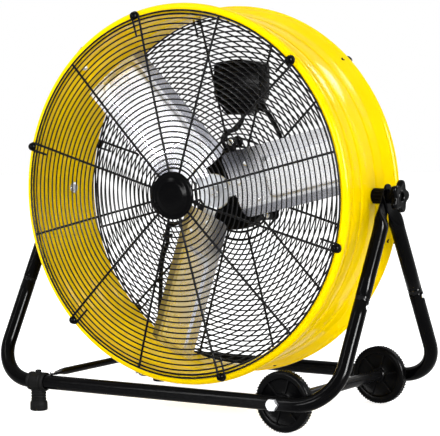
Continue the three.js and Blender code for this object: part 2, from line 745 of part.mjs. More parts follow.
function slopeRod(x, from, to, radius) {
  return loft([tubeRing(x, from, 0, radius), tubeRing(x, to, 0, radius)]);
}

function sideScrewPlace(side) {
  return onSlope(side * STAND_X, JOINT_RISE - LEG_SCREW_DROP, 0);
}

function baseTube() {
  const rings = [tubeRing(-STAND_X, JOINT_RISE, Math.PI, TUBE_R)];
  for (let i = 0; i <= 6; i += 1) {
    const turn = Math.PI + (i * Math.PI) / 12;
    const x = -STAND_X + BEND_R + BEND_R * Math.cos(turn);
    rings.push(tubeRing(x, BEND_R + BEND_R * Math.sin(turn), turn, TUBE_R));
  }
  for (let i = 0; i <= 6; i += 1) {
    const turn = -Math.PI / 2 + (i * Math.PI) / 12;
    const x = STAND_X - BEND_R + BEND_R * Math.cos(turn);
    rings.push(tubeRing(x, BEND_R + BEND_R * Math.sin(turn), turn, TUBE_R));
  }
  rings.push(tubeRing(STAND_X, JOINT_RISE, 0, TUBE_R));
  const removed = [rod(AXLE_R + GAP, -BASE_Y - 20, -BASE_Y + 20, 12).translate(WHEEL_X, 0, BASE_Z)];
  for (const side of [-1, 1]) {
    removed.push(slopeRod(side * STAND_X, JOINT_RISE - SOCKET_DEPTH, JOINT_RISE + 5, SOCKET_R));
    removed.push(screwBore(side));
  }
  return combine(loft(rings), [], removed);
}

function screwBore(side) {
  const bore = alongX(rod(LEG_SCREW_R + GAP, 4, TUBE_R + 3, 8));
  if (side < 0) bore.rotateZ(Math.PI);
  return bore.translate(...sideScrewPlace(side).toArray());
}

function legScrew(side) {
  const seat = TUBE_R + GAP;
  const corners = [[0, 6], [LEG_SCREW_R, 6], [LEG_SCREW_R, seat], [LEG_SCREW_HEAD_R, seat]];
  corners.push([LEG_SCREW_HEAD_R - 1, seat + LEG_SCREW_HEAD], [0, seat + LEG_SCREW_HEAD]);
  const screw = alongX(turned(corners, 8));
  if (side < 0) screw.rotateZ(Math.PI);
  return screw.translate(...sideScrewPlace(side).toArray());
}

// one oval ring of an upper leg; towards is -1 to shift it inwards and 1 outwards
function legRing(side, s, halfX, halfS, shift) {
  const ring = [];
  for (let i = 0; i < TUBE_SIDES; i += 1) {
    const angle = (2 * Math.PI * i) / TUBE_SIDES;
    const x = side * (STAND_X + shift + halfX * Math.cos(angle));
    ring.push(onSlope(x, s, halfS * Math.sin(angle)));
  }
  return ring;
}

function flatRing(side, s, half, shift) {
  const hx = PLATE / 2;
  const edge = half - 1;
  const corners = [[hx, 0], [hx, half / 2], [hx, edge], [0, half], [-hx, edge], [-hx, half / 2], [-hx, 0]];
  corners.push([-hx, -half / 2], [-hx, -edge], [0, -half], [hx, -edge], [hx, -half / 2]);
  return corners.map(([x, out]) => onSlope(side * (PLATE_X + shift + x), s, out));
}

function upperLeg(side, towards) {
  const top = LEG_RUN;
  const shift = (towards * (PLATE + GAP)) / 2;
  const spigotR = SOCKET_R - GAP;
  const rings = [
    legRing(side, JOINT_RISE - SPIGOT, spigotR, spigotR, 0),
    legRing(side, JOINT_RISE + GAP, spigotR, spigotR, 0),
    legRing(side, JOINT_RISE + GAP + 0.01, TUBE_R, TUBE_R, 0),
    legRing(side, top - FLATTEN_FROM, TUBE_R, TUBE_R, 0),
    flatRing(side, top - FLATTEN_TO, PLATE_HALF, shift),
    flatRing(side, top + PLATE_RISE, PLATE_HALF, shift),
    flatRing(side, top + PLATE_RISE + PLATE_HALF * 0.5, PLATE_HALF * 0.866, shift),
    flatRing(side, top + PLATE_RISE + PLATE_HALF * 0.866, PLATE_HALF * 0.5, shift),
  ];
  const hole = alongX(rod(BOLT_HOLE_R, -3 * PLATE, 3 * PLATE, 12));
  hole.translate(side * PLATE_X, 0, PIVOT_Z);
  return combine(loft(rings), [], [hole, screwBore(side)]);
}

function crossbar() {
  const z = BASE_Z + TUBE_R + GAP + CROSSBAR_TONGUE / 2;
  const ring = (y, halfX, halfZ, dz) => roundOutline(1, 10, 0).map(([x, up]) => (
    new THREE.Vector3(CROSSBAR_X + x * halfX, y, z + dz + up * halfZ)
  ));
  const tongue = [CROSSBAR_TONGUE_HALF, CROSSBAR_TONGUE / 2, 0];
  const round = [CROSSBAR_R, CROSSBAR_R, 0];
  return loft([
    ring(-BASE_Y - 4, ...tongue),
    ring(-BASE_Y + 18, ...tongue),
    ring(-BASE_Y + 36, ...round),
    ring(BASE_Y - 36, ...round),
    ring(BASE_Y - 18, ...tongue),
    ring(BASE_Y + 4, ...tongue),
  ]);
}

function foot() {
  const corners = [[0, 0], [FOOT_R - 1, 0], [FOOT_R, 2], [FOOT_R - 0.6, 16], [FOOT_NECK_R, 19]];
  corners.push([FOOT_NECK_R, 40], [0, 40]);
  const post = alongZ(turned(corners, 16));
  const collar = alongX(rod(COLLAR_R, -COLLAR_HALF, COLLAR_HALF, 16)).translate(0, 0, BASE_Z);
  const bore = alongX(rod(TUBE_R + GAP, -2 * FOOT_R, 2 * FOOT_R, 16)).translate(0, 0, BASE_Z);
  return combine(post, [collar], [bore]).translate(FOOT_X, -BASE_Y, 0);
}

// ---- wheels ----
const WHEEL_Y = BASE_Y - TUBE_R - GAP - WHEEL_HUB_LENGTH / 2;
const AXLE_TUBE_HALF = WHEEL_Y - WHEEL_HUB_LENGTH / 2 - GAP;

function wheel() {
  const half = WHEEL_HUB_LENGTH / 2;
  const bore = AXLE_R + GAP;
  const corners = [
    [bore, -half],
    [WHEEL_HUB_R, -half],
    [WHEEL_HUB_R, -WHEEL_WEB],
    [WHEEL_RIM_R, -WHEEL_WEB],
    [WHEEL_RIM_R, -WHEEL_HALF],
    [WHEEL_R - 2, -WHEEL_HALF],
    [WHEEL_R, 2 - WHEEL_HALF],
    [WHEEL_R, WHEEL_HALF - 2],
    [WHEEL_R - 2, WHEEL_HALF],
    [WHEEL_RIM_R, WHEEL_HALF],
    [WHEEL_RIM_R, WHEEL_WEB],
    [WHEEL_HUB_R, WHEEL_WEB],
    [WHEEL_HUB_R, half],
    [bore, half],
  ];
  return turned(closed(corners), 20);
}

function axleRod() {
  const seat = -BASE_Y - TUBE_R - GAP;
  const shank = rod(AXLE_R, seat - 1, -seat + HEX_DEPTH + 2, 12);
  const head = rod(HEX_R, seat - HEX_DEPTH, seat, 6);
  return combine(head, [shank], []).translate(WHEEL_X, 0, BASE_Z);
}

function axleNut() {
  const seat = BASE_Y + TUBE_R + GAP;
  return hexNut(AXLE_R + GAP, HEX_R, seat, seat + HEX_DEPTH).translate(WHEEL_X, 0, BASE_Z);
}

// ---- free cord, coil and plug ----
const COIL_START_Y = COIL_Y - 2 * CORD_R;
const LAYER = COIL_PITCH;

function freeCord(clipZ) {
  return cordTube([
    [CLIP_X, CLIP_Y, clipZ - CLIP_HALF - 1 - GAP],
    [CLIP_X, CLIP_Y, clipZ - CLIP_HALF - 1 - GAP - 2 * CORD_R],
    [-172, 86, 259],
    [-177, 86, 231],
    [-180, 88, 193],
    [-185, 92, 149],
    [-189, 104, 105],
    [-192, 125, 62],
    [-199, 150, 27],
    [-204, 178, 9],
    [-207, 206, CORD_FLOOR],
    [COIL_X + COIL_OUTER, 240, CORD_FLOOR],
    [COIL_X + COIL_OUTER, COIL_START_Y - 2 * CORD_R, CORD_FLOOR],
    [COIL_X + COIL_OUTER, COIL_START_Y - GAP, CORD_FLOOR],
  ], 16);
}

// the middle of the coil's cord after a turn through angle from its start
function coilPoint(angle) {
  const layerEnd = 2 * Math.PI * COIL_TURNS;
  const rate = COIL_PITCH / (2 * Math.PI);
  const inner = COIL_OUTER - rate * layerEnd;
  let radius = COIL_OUTER - rate * angle;
  let height = CORD_FLOOR;
  if (angle > layerEnd + Math.PI) {
    radius = inner + rate * (angle - layerEnd - Math.PI);
    height = CORD_FLOOR + LAYER;
  } else if (angle > layerEnd) {
    radius = inner - rate * Math.sin(angle - layerEnd);
    height = CORD_FLOOR + (LAYER * (1 - Math.cos(angle - layerEnd))) / 2;
  }
  return new THREE.Vector3(COIL_X + radius * Math.cos(angle), COIL_Y + radius * Math.sin(angle), height);
}

function coilPath() {
  const total = 2 * Math.PI * (2 * COIL_TURNS + 0.5);
  const steps = Math.round((2 * COIL_TURNS + 0.5) * LOOP_STEPS);
  const points = [new THREE.Vector3(COIL_X + COIL_OUTER, COIL_START_Y, CORD_FLOOR)];
  for (let i = 0; i <= steps; i += 1) points.push(coilPoint((total * i) / steps));
  const last = points[points.length - 1];
  points.push(new THREE.Vector3(last.x, last.y - COIL_TAIL, last.z));
  return points;
}

function cordRings(points) {
  const up = new THREE.Vector3(0, 0, 1);
  return points.map((point, i) => {
    const before = points[Math.max(i - 1, 0)];
    const after = points[Math.min(i + 1, points.length - 1)];
    const ahead = new THREE.Vector3().subVectors(after, before).normalize();
    if (i === 0 || i === points.length - 1) ahead.set(0, Math.sign(ahead.y), 0);
    const side = new THREE.Vector3().crossVectors(ahead, up).normalize();
    const lift = new THREE.Vector3().crossVectors(side, ahead);
    const ring = [];
    for (let k = 0; k < COIL_SIDES; k += 1) {
      const angle = (2 * Math.PI * k) / COIL_SIDES;
      const corner = point.clone().addScaledVector(side, CORD_R * Math.cos(angle));
      ring.push(corner.addScaledVector(lift, CORD_R * Math.sin(angle)));
    }
    return ring;
  });
}

// the least gap between turns of the coil that are more than a third of a turn apart
function leastCoilGap(points) {
  let least = Infinity;
  for (let i = 0; i < points.length; i += 1) {
    for (let j = i + LOOP_STEPS / 3; j < points.length; j += 1) {
      least = Math.min(least, points[i].distanceTo(points[j]) - 2 * CORD_R);
    }
  }
  return least;
}

function cordCoil() {
  return loft(cordRings(coilPath()));
}

// a band round the coil's turns on its far side
function cordTie() {
  const inner = COIL_OUTER - COIL_PITCH * (COIL_TURNS - 0.25) - CORD_R - 3 * GAP;
  const outer = COIL_OUTER - COIL_PITCH * 0.25 + CORD_R + 2 * GAP;
  const low = 0.1;
  const high = CORD_FLOOR + LAYER + CORD_R + GAP;
  const wall = 1.2;
  const loop = (grow, floor) => [
    [inner - grow, floor],
    [outer + grow, floor],
    [outer + grow, high + grow],
    [inner - grow, high + grow],
  ];
  const ring = plate(loop(wall, low), [loop(0, low + 0.35)], -4, 8).rotateZ(Math.PI / 2);
  return ring.translate(COIL_X, COIL_Y, 0);
}

function powerPlug() {
  const end = coilPath().pop();
  const corners = [[0, 0], [CORD_R + 1, 0], [PLUG_NECK_R, PLUG_NECK], [0, PLUG_NECK]];
  const neck = turned(corners, 12);
  const bevel = 5;
  const outline = [];
  for (const [sx, sz] of [[1, -1], [1, 1], [-1, 1], [-1, -1]]) {
    const near = [sx * (PLUG_HALF + 1), sz * (PLUG_HALF - bevel)];
    const far = [sx * (PLUG_HALF + 1 - bevel), sz * PLUG_HALF];
    outline.push(...(sx * sz < 0 ? [far, near] : [near, far]));
  }
  const body = plate(outline, [], PLUG_NECK - 1, PLUG_LENGTH);
  const face = PLUG_NECK - 1 + PLUG_LENGTH;
  const prongs = [-6.35, 6.35].map((x) => (
    new THREE.BoxGeometry(1.5, PRONG_LENGTH + 2, 6.4).translate(x, face + PRONG_LENGTH / 2 - 1, 3)
  ));
  const earth = rod(2.4, face - 2, face + PRONG_LENGTH + 2, 8).translate(0, 0, -6);
  const plug = combine(body, [neck, ...prongs, earth], []);
  return plug.rotateZ(Math.PI).translate(end.x, end.y - GAP, end.z);
}

// ---- assembly ----
function part(name, geometry, look) {
  const mesh = new THREE.Mesh(tidy(geometry), new THREE.MeshStandardMaterial(look));
  mesh.name = name;
  return mesh;
}

// a copy turned half round the upright axis, for the left or the rear side
function halfTurn(geometry) {
  return geometry.rotateZ(Math.PI);
}

// a copy mirrored front to rear
function mirrored(geometry) {
  return tidy(geometry).scale(1, -1, 1);
}

function drumParts() {
  const group = new THREE.Group();
  group.position.z = PIVOT_Z;
  const clipZ = -Math.sqrt(CLIP_RING * CLIP_RING - CLIP_X * CLIP_X);
  group.add(
    part('drum_shell', drumShell(), YELLOW),
    part('front_grille', frontGrille(), BLACK_WIRE),
    part('rear_grille', rearGrille(), BLACK_WIRE),
    part('hub_cap', hubCap(), BLACK_PLASTIC),
    part('motor_front_bell', motorBell(), MOTOR_BLACK),
    part('motor_housing', motorHousing(), MOTOR_BLACK),
    part('control_box_base', boxBase(), BLACK_PLASTIC),
    part('control_box_lid', boxLid(), BLACK_PLASTIC),
    part('speed_knob', speedKnob(), BLACK_PLASTIC),
    part('motor_lead', motorLead(), CORD_BLACK),
    part('cord_grommet', cordGrommet(), RUBBER),
    part('fixed_cord', fixedCord(clipZ), CORD_BLACK),
    part('cord_clip', cordClip(clipZ), BLACK_PLASTIC),
    part('drum_handle', handle(), ZINC),
    part('right_pivot_spacer', pivotSpacer(), BLACK_PLASTIC),
    part('left_pivot_spacer', halfTurn(pivotSpacer()), BLACK_PLASTIC),
    part('right_pivot_bolt', pivotBolt(), ZINC),
    part('left_pivot_bolt', halfTurn(pivotBolt()), ZINC),
    part('right_star_knob', starKnob(), BLACK_PLASTIC),
    part('left_star_knob', halfTurn(starKnob()), BLACK_PLASTIC),
  );
  for (let screw = 0; screw < SCREW_COUNT; screw += 1) {
    const [x, z] = polar(SCREW_R, SCREW_ANGLE + screw * SCREW_STEP);
    const front = part(`front_grille_screw_${screw + 1}`, ballScrew(FRONT_FACE_Y - GAP, -1), BLACK_PLASTIC);
    const rear = part(`rear_grille_screw_${screw + 1}`, ballScrew(REAR_FACE_Y + GAP, 1), BLACK_PLASTIC);
    front.position.set(x, 0, z);
    rear.position.set(x, 0, z);
    group.add(front, rear);
  }
  return group;
}

function rotorParts() {
  const group = new THREE.Group();
  group.position.z = PIVOT_Z;
  group.add(part('motor_shaft', motorShaft(), ZINC));
  group.add(part('blade_spider', bladeSpider(), ZINC));
  const nutRear = HUB_FRONT_Y - GAP;
  group.add(part('hub_nut', hexNut(SHAFT_R + GAP, NUT_R, nutRear - NUT_DEPTH, nutRear), ZINC));
  BLADE_ANGLES.forEach((angle, i) => group.add(part(`blade_${i + 1}`, blade(angle), ALUMINIUM)));
  return group;
}

function standParts() {
  const group = new THREE.Group();
  group.add(
    part('front_base_tube', baseTube(), BLACK_PAINT),
    part('rear_base_tube', mirrored(baseTube()), BLACK_PAINT),
    part('front_right_leg', upperLeg(1, -1), BLACK_PAINT),
    part('front_left_leg', upperLeg(-1, -1), BLACK_PAINT),
    part('rear_right_leg', mirrored(upperLeg(1, 1)), BLACK_PAINT),
    part('rear_left_leg', mirrored(upperLeg(-1, 1)), BLACK_PAINT),
    part('front_right_leg_screw', legScrew(1), ZINC),
    part('front_left_leg_screw', legScrew(-1), ZINC),
    part('rear_right_leg_screw', mirrored(legScrew(1)), ZINC),
    part('rear_left_leg_screw', mirrored(legScrew(-1)), ZINC),
    part('crossbar', crossbar(), BLACK_PAINT),
    part('front_foot', foot(), RUBBER),
    part('rear_foot', mirrored(foot()), RUBBER),
    part('axle_tube', sleeve(AXLE_R + GAP, AXLE_TUBE_R, -AXLE_TUBE_HALF, AXLE_TUBE_HALF, 12), BLACK_PAINT),
    part('axle_rod', axleRod(), ZINC),
    part('axle_nut', axleNut(), ZINC),
    part('front_wheel', wheel(), BLACK_PLASTIC),
    part('rear_wheel', wheel(), BLACK_PLASTIC),
  );
  group.getObjectByName('axle_tube').position.set(WHEEL_X, 0, BASE_Z);
  group.getObjectByName('front_wheel').position.set(WHEEL_X, -WHEEL_Y, BASE_Z);
  group.getObjectByName('rear_wheel').position.set(WHEEL_X, WHEEL_Y, BASE_Z);
  return group;
}

function cordParts() {
  const group = new THREE.Group();
  const clipZ = PIVOT_Z - Math.sqrt(CLIP_RING * CLIP_RING - CLIP_X * CLIP_X);
  group.add(
    part('power_cord', freeCord(clipZ), CORD_BLACK),
    part('cord_coil', cordCoil(), CORD_BLACK),
    part('cord_tie', cordTie(), BLACK_PLASTIC),
    part('power_plug', powerPlug(), CORD_BLACK),
  );
  console.log('least gap in the coil, mm:', leastCoilGap(coilPath()).toFixed(2));
  return group;
}

const fan = new THREE.Group();
fan.name = 'drum_fan';
fan.add(drumParts(), rotorParts(), standParts(), cordParts());

export default fan;
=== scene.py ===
"""A roll-about drum fan: its painted drum, wire guards, blades, tube stand and cord, piece by piece."""
import math

import bmesh
import bpy
from bpy.props import FloatProperty, FloatVectorProperty, IntProperty, PointerProperty
from mathutils import Matrix, Vector


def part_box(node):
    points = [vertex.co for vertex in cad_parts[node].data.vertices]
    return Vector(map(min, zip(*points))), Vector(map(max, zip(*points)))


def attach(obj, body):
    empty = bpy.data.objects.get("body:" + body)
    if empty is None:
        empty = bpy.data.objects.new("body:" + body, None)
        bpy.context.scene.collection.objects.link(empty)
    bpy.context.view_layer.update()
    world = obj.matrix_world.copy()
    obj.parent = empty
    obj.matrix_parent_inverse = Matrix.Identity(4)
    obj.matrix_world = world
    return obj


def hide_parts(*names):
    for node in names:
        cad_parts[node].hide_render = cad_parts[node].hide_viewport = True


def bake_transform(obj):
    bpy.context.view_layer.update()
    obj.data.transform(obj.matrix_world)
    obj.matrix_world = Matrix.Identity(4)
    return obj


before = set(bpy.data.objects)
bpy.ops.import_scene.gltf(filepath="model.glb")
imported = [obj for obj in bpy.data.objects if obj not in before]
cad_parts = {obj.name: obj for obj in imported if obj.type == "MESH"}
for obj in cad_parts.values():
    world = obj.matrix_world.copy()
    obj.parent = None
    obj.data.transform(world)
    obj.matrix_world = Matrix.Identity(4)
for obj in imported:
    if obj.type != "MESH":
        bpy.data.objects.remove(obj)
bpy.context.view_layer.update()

bl_info = {
    "name": "Drum Fan Maker",
    "version": (1, 0, 0),
    "blender": (4, 5, 0),
    "location": "3D View > Sidebar > Drum Fan",
    "description": "Builds a roll-about drum fan, its stage and its camera",
    "category": "Object",
}

# ---- sizes in millimetres, +Z up, the air leaving along -Y ----
MM = 0.001


def box_mm(node):
    low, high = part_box(node)
    return Vector(low) / MM, Vector(high) / MM


DRUM_LOW, DRUM_HIGH = box_mm("drum_shell")
AXIS_Z = (DRUM_LOW.z + DRUM_HIGH.z) / 2
DRUM_FRONT_Y = DRUM_LOW.y
DRUM_REAR_Y = DRUM_HIGH.y
LIP_ROLL = 9
LIP_R = DRUM_HIGH.x - LIP_ROLL
LIP_Y = DRUM_FRONT_Y + LIP_ROLL
REAR_ROLL = 7
REAR_LIP_Y = DRUM_REAR_Y - REAR_ROLL
REAR_LIP_R = LIP_R + 1.5
WALL_R = LIP_R - 5.5
SHEET = 2
BEADS_Y = (-74, -44, 9)
BEAD_DEPTH = 1.9
BEAD_HALF = 4.5
FLARE_START_Y = 34

SCREW_ANGLE = 105.6
SCREW_COUNT = 6
FLARE_SCREW_R = 326.6
FLARE_SCREW_Y = 57
SPOKE_ANGLE = 14.4
SPOKE_COUNT = 12
DOME = 12
DOME_EDGE_R = 312
GUARD_EDGE_R = 320.3
SPOKE_END_R = 320
RIM_R = 314.5
RIM_PITCH = 5.8
HUB_RING_R = 47.5
RING_STEPS = 132  # straight steps in a full turn of a wire
MOUNT_HOLE_R = 76
MOUNT_PLATE_R = 95
LUG_ANGLES = (90, 210, 330)
LUG_R = 87
BALL_R = 7.5
CLIP_RING = 186

BLADE_ANGLES = (13.4, 133.4, 253.4)
BLADE_ROOT = 42
BLADE_TIP = 303
BLADE_HALF = 58.5
BLADE_CORNER = 14
BLADE_Y = -8.6
BLADE_SHEET = 1.5
BLADE_SLOPE = 0.355
BLADE_RAKE = -0.043
PANEL_ROOT = 112
PANEL_SIDE = 20
PANEL_TIP = 8
PANEL_SKEW = 0.16
PANEL_DEPTH = -1.6  # towards the front
PANEL_STEP = 7.0  # width of the pressed step round the panel
PAINTED_SHADE_ATTRIBUTE = "grey_share"  # attribute: the share of painted shade in a blade's colour, where the bent sheet would reflect darker
# tone and bluish tint of the painted shade laid into the blades
PAINTED_SHADE_TONE = 0.2
PAINTED_SHADE_TINT = (1.0, 1.02, 1.16)
ARM_SHEET = 3
ARM_NECK_HALF = 15
ARM_ROOT = 20
SHAFT_R = 6
HUB_FRONT_Y = -5
HUB_PLATE = 4

MOTOR_R = 73
BELL_FRONT_Y = 46
BELL_REAR_Y = 60
MOTOR_REAR_Y = 104

BOX_LOW, BOX_HIGH = box_mm("control_box_base")
LID_HIGH = box_mm("control_box_lid")[1]
BOX_X = (BOX_LOW.x + BOX_HIGH.x) / 2
BOX_HALF = (BOX_HIGH.x - BOX_LOW.x) / 2
BOX_SHOULDER_Z = 557
BOX_FLOOR_Z = 524
BOX_TOP_Z = 623
BOX_FLOOR_HALF = 22
KNOB_Z = 588

STAND_X = 347.5
BASE_Y = 196.5
BASE_Z = 52
TUBE_R = 12.7
BEND_R = 75
JOINT_RISE = 195
LEG_RUN = math.hypot(BASE_Y, AXIS_Z - BASE_Z)
LEAN_Y = BASE_Y / LEG_RUN
LEAN_Z = (AXIS_Z - BASE_Z) / LEG_RUN
PLATE_X = 345
PLATE = 3
PLATE_HALF = 16
PLATE_RISE = 6
FLATTEN_FROM = 62
FLATTEN_TO = 27
BOLT_HOLE_R = 5.4
LEG_SCREW_DROP = 13
CROSSBAR_X = -224
FOOT_X = -254
WHEEL_X = 240
WHEEL_Y = 172.4
AXLE_TUBE_HALF = 161
AXLE_BORE_R = 6.3
SPIGOT_R = 9.9

HANDLE_ANGLE = 135.3
HANDLE_FRONT_Y = -72
HANDLE_REAR_Y = 12
HANDLE_REACH = 38
HANDLE_FOOT = 20

CORD_R = 4
CORD_SIDES = 14
LEAD_R = 3.5
CORD_FLOOR = 4.05
CLIP_X = -162
CLIP_Y = 86
CLIP_Z = AXIS_Z - math.sqrt(CLIP_RING ** 2 - CLIP_X ** 2)
CLIP_HALF = 4
GAP = 0.3
STAR_X = PLATE_X + PLATE + 1.5 * GAP
THREAD = 1.5
COIL_X = -262
COIL_Y = 305
COIL_OUTER = 54.75
COIL_PITCH = 8.6
COIL_TURNS = 2.5
COIL_TAIL = 32
LOOP_STEPS = 24

# ---- the camera, at the photograph's angle ----
CAMERA_TURN = 32.06
CAMERA_RISE = 3.969
CAMERA_ROLL = -0.396
CAMERA_AWAY = 3.3896
CAMERA_AIM = (0.0568, -0.0772, 0.3468)
CAMERA_LENS = 158.77


# ---- small tools ----
def polar(radius, degrees):
    angle = math.radians(degrees)
    return radius * math.cos(angle), radius * math.sin(angle)


def smooth_step(value):
    value = min(1.0, max(0.0, value))
    return value * value * (3 - 2 * value)


def mix(a, b, share):
    return a + (b - a) * share


def facing(origin, direction):
    """A matrix that carries local +Z to a direction at an origin."""
    turn = Vector(direction).to_track_quat("Z", "Y").to_matrix().to_4x4()
    return Matrix.Translation(Vector(origin)) @ turn


def rearward(x, y, z):
    """Carries local Z to +Y at a place, with local X kept."""
    return Matrix.Translation((x, y, z)) @ Matrix.Rotation(-math.pi / 2, 4, "X")


def sideways(x, y, z, side=1):
    """Carries local Z to +X or -X at a place."""
    return Matrix.Translation((x, y, z)) @ Matrix.Rotation(math.pi / 2 * side, 4, "Y")


DRUM_AXIS = rearward(0, 0, AXIS_Z)


def squared(power, degrees):
    """The cosine and sine of an angle, drawn out towards a square as the power grows past 2."""
    return [math.copysign(abs(value) ** (2 / power), value) for value in polar(1, degrees)]


def raised(base, profile):
    """A profile of radius and height pairs, with each height above a base."""
    return [(radius, base + height) for radius, height in profile]


def arc(centre, radius, start, end, steps):
    """Points of an arc in two coordinates, from one angle to another in degrees."""
    points = []
    for i in range(steps + 1):
        a, b = polar(radius, mix(start, end, i / steps))
        points.append((centre[0] + a, centre[1] + b))
    return points


def eased(points, radius, steps=6):
    """A polyline whose inner corners are rounded by short curves."""
    out = [Vector(points[0])]
    for before, here, after in zip(points, points[1:], points[2:]):
        here, before, after = Vector(here), Vector(before), Vector(after)
        reach = min(radius, (before - here).length * 0.49, (after - here).length * 0.49)
        start = here + (before - here).normalized() * reach
        end = here + (after - here).normalized() * reach
        for i in range(steps + 1):
            t = i / steps
            out.append(start * (1 - t) ** 2 + here * 2 * t * (1 - t) + end * t * t)
    out.append(Vector(points[-1]))
    return out


def even_catmull(points, spacing):
    """Points along a centripetal Catmull-Rom curve through the given points, about a spacing apart."""
    points = [Vector(p) for p in points]
    ends = [points[0] * 2 - points[1]] + points + [points[-1] * 2 - points[-2]]
    out = []
    for p0, p1, p2, p3 in zip(ends, ends[1:], ends[2:], ends[3:]):
        times = [0.0]
        for a, b in ((p0, p1), (p1, p2), (p2, p3)):
            times.append(times[-1] + max((b - a).length, 1e-4) ** 0.5)
        steps = max(2, round((p2 - p1).length / spacing))
        for i in range(steps):
            out.append(spline_point((p0, p1, p2, p3), times, mix(times[1], times[2], i / steps)))
    out.append(points[-1])
    return out


def spline_point(corners, times, t):
    level = list(corners)
    for span in (1, 2, 3):
        level = [
            blend_between(level[i], level[i + 1], t, spline_limits(times, i, span))
            for i in range(len(level) - 1)
        ]
    return level[0]


def spline_limits(times, i, span):
    """Barry and Goldman's pyramid: its last level lies between the two middle knots."""
    if span == 3:
        return times[1], times[2]
    return times[i], times[i + span]


def blend_between(a, b, t, limits):
    start, end = limits
    return a * ((end - t) / (end - start)) + b * ((t - start) / (end - start))


class Solid:
    """Corners in millimetres and faces, gathered from closed bodies."""

    def __init__(self):
        self.corners = []
        self.faces = []

    def add(self, corners, faces, place=None):
        start = len(self.corners)
        for corner in corners:
            self.corners.append(place @ Vector(corner) if place else Vector(corner))
        self.faces.extend([start + i for i in face] for face in faces)
        return self

    def merge(self, other, place=None):
        return self.add(other.corners, other.faces, place)


def stacked(rings, ends="flat"):
    """A body through rings of equal counts: flat ends, pointed ends, or the last ring joined to the first."""
    count = len(rings[0])
    corners = [Vector(point) for ring in rings for point in ring]
    faces = []
    spans = len(rings) if ends == "joined" else len(rings) - 1
    for ring in range(spans):
        here = ring * count
        there = ((ring + 1) % len(rings)) * count
        for i in range(count):
            j = (i + 1) % count
            faces.append([here + i, here + j, there + j, there + i])
    if ends == "flat":
        faces.append(list(range(count))[::-1])
        faces.append([(len(rings) - 1) * count + i for i in range(count)])
    if ends == "pointed":
        for first in (0, (len(rings) - 1) * count):
            middle = sum((corners[first + i] for i in range(count)), Vector()) / count
            corners.append(middle)
            for i in range(count):
                faces.append([first + i, first + (i + 1) % count, len(corners) - 1])
    return Solid().add(corners, faces)


def turned(profile, segments, place=None):
    """A body turned round local Z from radius and height pairs that end on the axis or meet."""
    joined = (Vector(profile[0]) - Vector(profile[-1])).length < 1e-6
    pairs = profile[:-1] if joined else profile
    poles = not joined
    corners, faces, starts = [], [], []
    for radius, height in pairs:
        starts.append(len(corners))
        if poles and radius < 1e-6:
            corners.append((0, 0, height))
            continue
        for i in range(segments):
            x, y = polar(radius, 360 * i / segments)
            corners.append((x, y, height))
    spans = len(pairs) if joined else len(pairs) - 1
    for k in range(spans):
        a, b = starts[k], starts[(k + 1) % len(pairs)]
        a_pole = poles and pairs[k][0] < 1e-6
        b_pole = poles and pairs[(k + 1) % len(pairs)][0] < 1e-6
        for i in range(segments):
            j = (i + 1) % segments
            if a_pole and b_pole:
                continue
            if a_pole:
                faces.append([a, b + j, b + i])
            elif b_pole:
                faces.append([a + i, a + j, b])
            else:
                faces.append([a + i, a + j, b + j, b + i])
    return Solid().add(corners, faces, place)


def block(size, centre, place=None):
    x, y, z = (whole / 2 for whole in size)
    rings = [[(-x, -y, end), (x, -y, end), (x, y, end), (-x, y, end)] for end in (-z, z)]
    centred = Solid().merge(stacked(rings), Matrix.Translation(centre))
    return Solid().merge(centred, place)


def rod(radius, half, segments, place):
    """A plain cylinder along local Z, from -half to half."""
    return turned([(0, -half), (radius, -half), (radius, half), (0, half)], segments, place)


def ahead_at(path, i):
    """The direction of a path at one of its points."""
    return (path[min(i + 1, len(path) - 1)] - path[max(i - 1, 0)]).normalized()


def round_section(radius, sides):
    return [polar(radius, 360 * i / sides) for i in range(sides)]


def tube(path, radius, sides):
    """A round tube along a path in space, with flat ends."""
    path = [Vector(point) for point in path]
    across = ahead_at(path, 0).orthogonal().normalized()
    rings = []
    for i, point in enumerate(path):
        ahead = ahead_at(path, i)
        across = (across - ahead * across.dot(ahead)).normalized()
        up = ahead.cross(across)
        rings.append([point + across * a + up * b for a, b in round_section(radius, sides)])
    return stacked(rings)


def planar_sweep(path, lift, section):
    """A section of (aside, out) pairs carried along a flat path; lift turns (a, b, out) into a point."""
    path = [Vector(point) for point in path]
    rings = []
    for i, point in enumerate(path):
        ahead = ahead_at(path, i)
        aside = Vector((-ahead.y, ahead.x))
        shape = section(i) if callable(section) else section
        rings.append([lift(*(point + aside * a), out) for a, out in shape])
    return stacked(rings)


def linked(name, data):
    """A new object of some data, in the scene."""
    made = bpy.data.objects.new(name, data)
    bpy.context.scene.collection.objects.link(made)
    return made


def mesh_object(name, solid):
    mesh = bpy.data.meshes.new(name)
    mesh.from_pydata([tuple(corner * MM) for corner in solid.corners], [], solid.faces)
    work = bmesh.new()
    work.from_mesh(mesh)
    bmesh.ops.remove_doubles(work, verts=work.verts, dist=1e-7)
    bmesh.ops.recalc_face_normals(work, faces=work.faces)
    work.to_mesh(mesh)
    work.free()
    return linked(name, mesh)


def plain_copy(shaped, name):
    """The evaluated object as a plain mesh with no modifier; the worked object goes."""
    bpy.context.view_layer.update()
    graph = bpy.context.evaluated_depsgraph_get()
    mesh = bpy.data.meshes.new_from_object(shaped.evaluated_get(graph))
    bpy.data.objects.remove(shaped)
    mesh.name = name
    return linked(name, mesh)


def shade(shaped, angle):
    mesh = shaped.data
    mesh.polygons.foreach_set("use_smooth", [True] * len(mesh.polygons))
    mesh.set_sharp_from_angle(angle=math.radians(angle))


def bevelled(shaped, width, steps=2):
    name = shaped.name
    shaped.name = name + "_worked"
    bevel = shaped.modifiers.new("Bevel", "BEVEL")
    bevel.width = width * MM
    bevel.segments = steps
    bevel.limit_method = "ANGLE"
    bevel.angle_limit = math.radians(38)
    return plain_copy(shaped, name)


